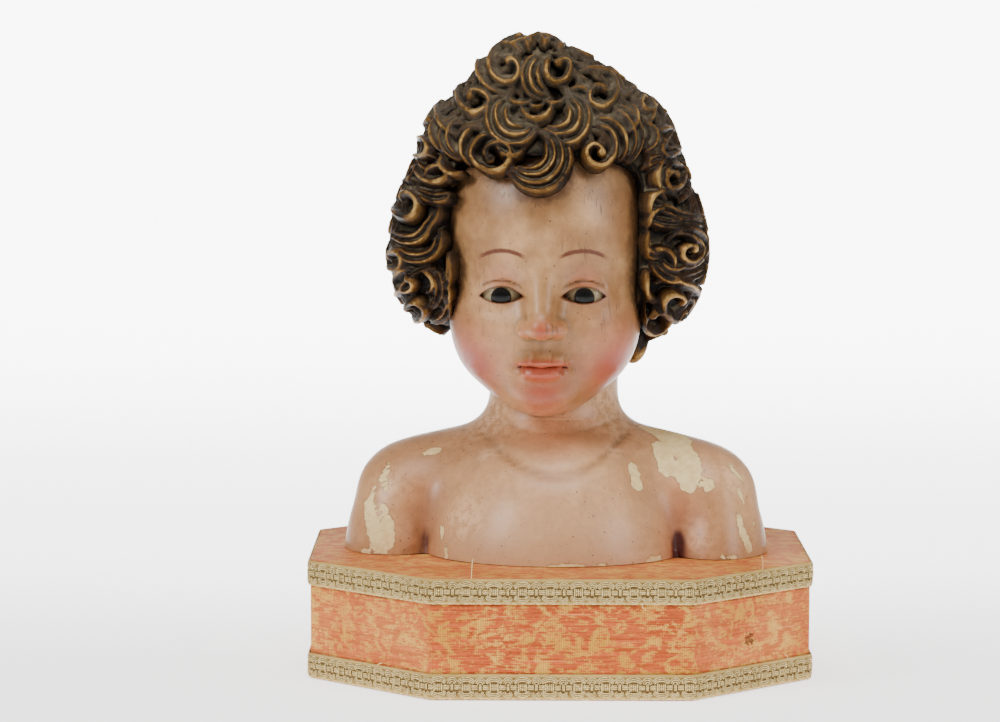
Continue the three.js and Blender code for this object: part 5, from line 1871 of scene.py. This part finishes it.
def sweep_surface():
    """A sheet: the floor, a quarter turn (sin a, 1 - cos a) and the wall."""
    a = np.linspace(0, np.pi / 2, 13)
    turn = np.stack([FLOOR_BACK + SWEEP_RADIUS * np.sin(a), SWEEP_RADIUS * (1 - np.cos(a))], -1)
    line = np.concatenate([[(FLOOR_FRONT, 0)], turn, [(FLOOR_BACK + SWEEP_RADIUS, WALL_TOP)]])
    sides = [np.insert(line, 0, x, axis=1) for x in (-FLOOR_HALF, FLOOR_HALF)]
    i = np.arange(len(line) - 1)
    quads = np.stack([i, i + len(line), i + len(line) + 1, i + 1], -1)
    return np.concatenate(sides), quads, np.zeros((0, 3), int)


def sweep_material():
    made, tree, shader, where = new_material("pale floor")
    across, depth, height = put(tree, "ShaderNodeSeparateXYZ", {0: where}).outputs[:3]
    beyond = maths(tree, "ABSOLUTE", maths(tree, "ADD", across, 0.03))
    beyond = maths(tree, "SUBTRACT", beyond, maths(tree, "MULTIPLY", depth, 0.15))
    near = maths(tree, "MULTIPLY", between(tree, beyond, 0.55, 0.40), between(tree, depth, -0.45, -0.28))
    near = maths(tree, "MULTIPLY", near, between(tree, height, 0.9, 0.6))
    glow = between(tree, depth, -0.1, 0.45, (FLOOR_GLOW, MIDDLE_GLOW))
    glow = maths(tree, "ADD", glow, between(tree, depth, 0.45, 2.0, (0.0, WALL_GLOW - MIDDLE_GLOW)))
    glow = maths(tree, "MULTIPLY", near, glow)
    finish_shader(
        tree,
        shader,
        {
            "Base Color": (0.93, 0.93, 0.92, 1),
            "Roughness": 0.9,
            "Emission Color": (1, 1, 1, 1),
            "Emission Strength": glow,
        },
    )
    return made


class BUST_PT_panel(bpy.types.Panel):
    """Lists the operators in the order in which they are used"""

    bl_label = "Carved Bust"
    bl_idname = "BUST_PT_panel"
    bl_space_type = "VIEW_3D"
    bl_region_type = "UI"
    bl_category = "Bust"

    def draw(self, context):
        for operator in OPERATORS:
            self.layout.operator(operator.bl_idname)
        for group in (context.scene.bust_sizes, context.scene.bust_paint):
            for name in group.__annotations__:
                self.layout.prop(group, name)


OPERATORS = (BUST_OT_block, BUST_OT_cloth, BUST_OT_braid, BUST_OT_carve, BUST_OT_eyes, BUST_OT_stage)
CLASSES = (BustPaint, BustSizes, *OPERATORS, BUST_PT_panel)


def register():
    for made in CLASSES:
        bpy.utils.register_class(made)
    bpy.types.Scene.bust_paint = PointerProperty(type=BustPaint)
    bpy.types.Scene.bust_sizes = PointerProperty(type=BustSizes)


def unregister():
    del bpy.types.Scene.bust_sizes
    del bpy.types.Scene.bust_paint
    for made in reversed(CLASSES):
        bpy.utils.unregister_class(made)


def main():
    register()
    bpy.ops.bust.block()
    bpy.ops.bust.cloth()
    bpy.ops.bust.braid()
    bpy.ops.bust.carve()
    bpy.ops.bust.eyes()
    bpy.ops.bust.stage()


if __name__ == "__main__":
    main()
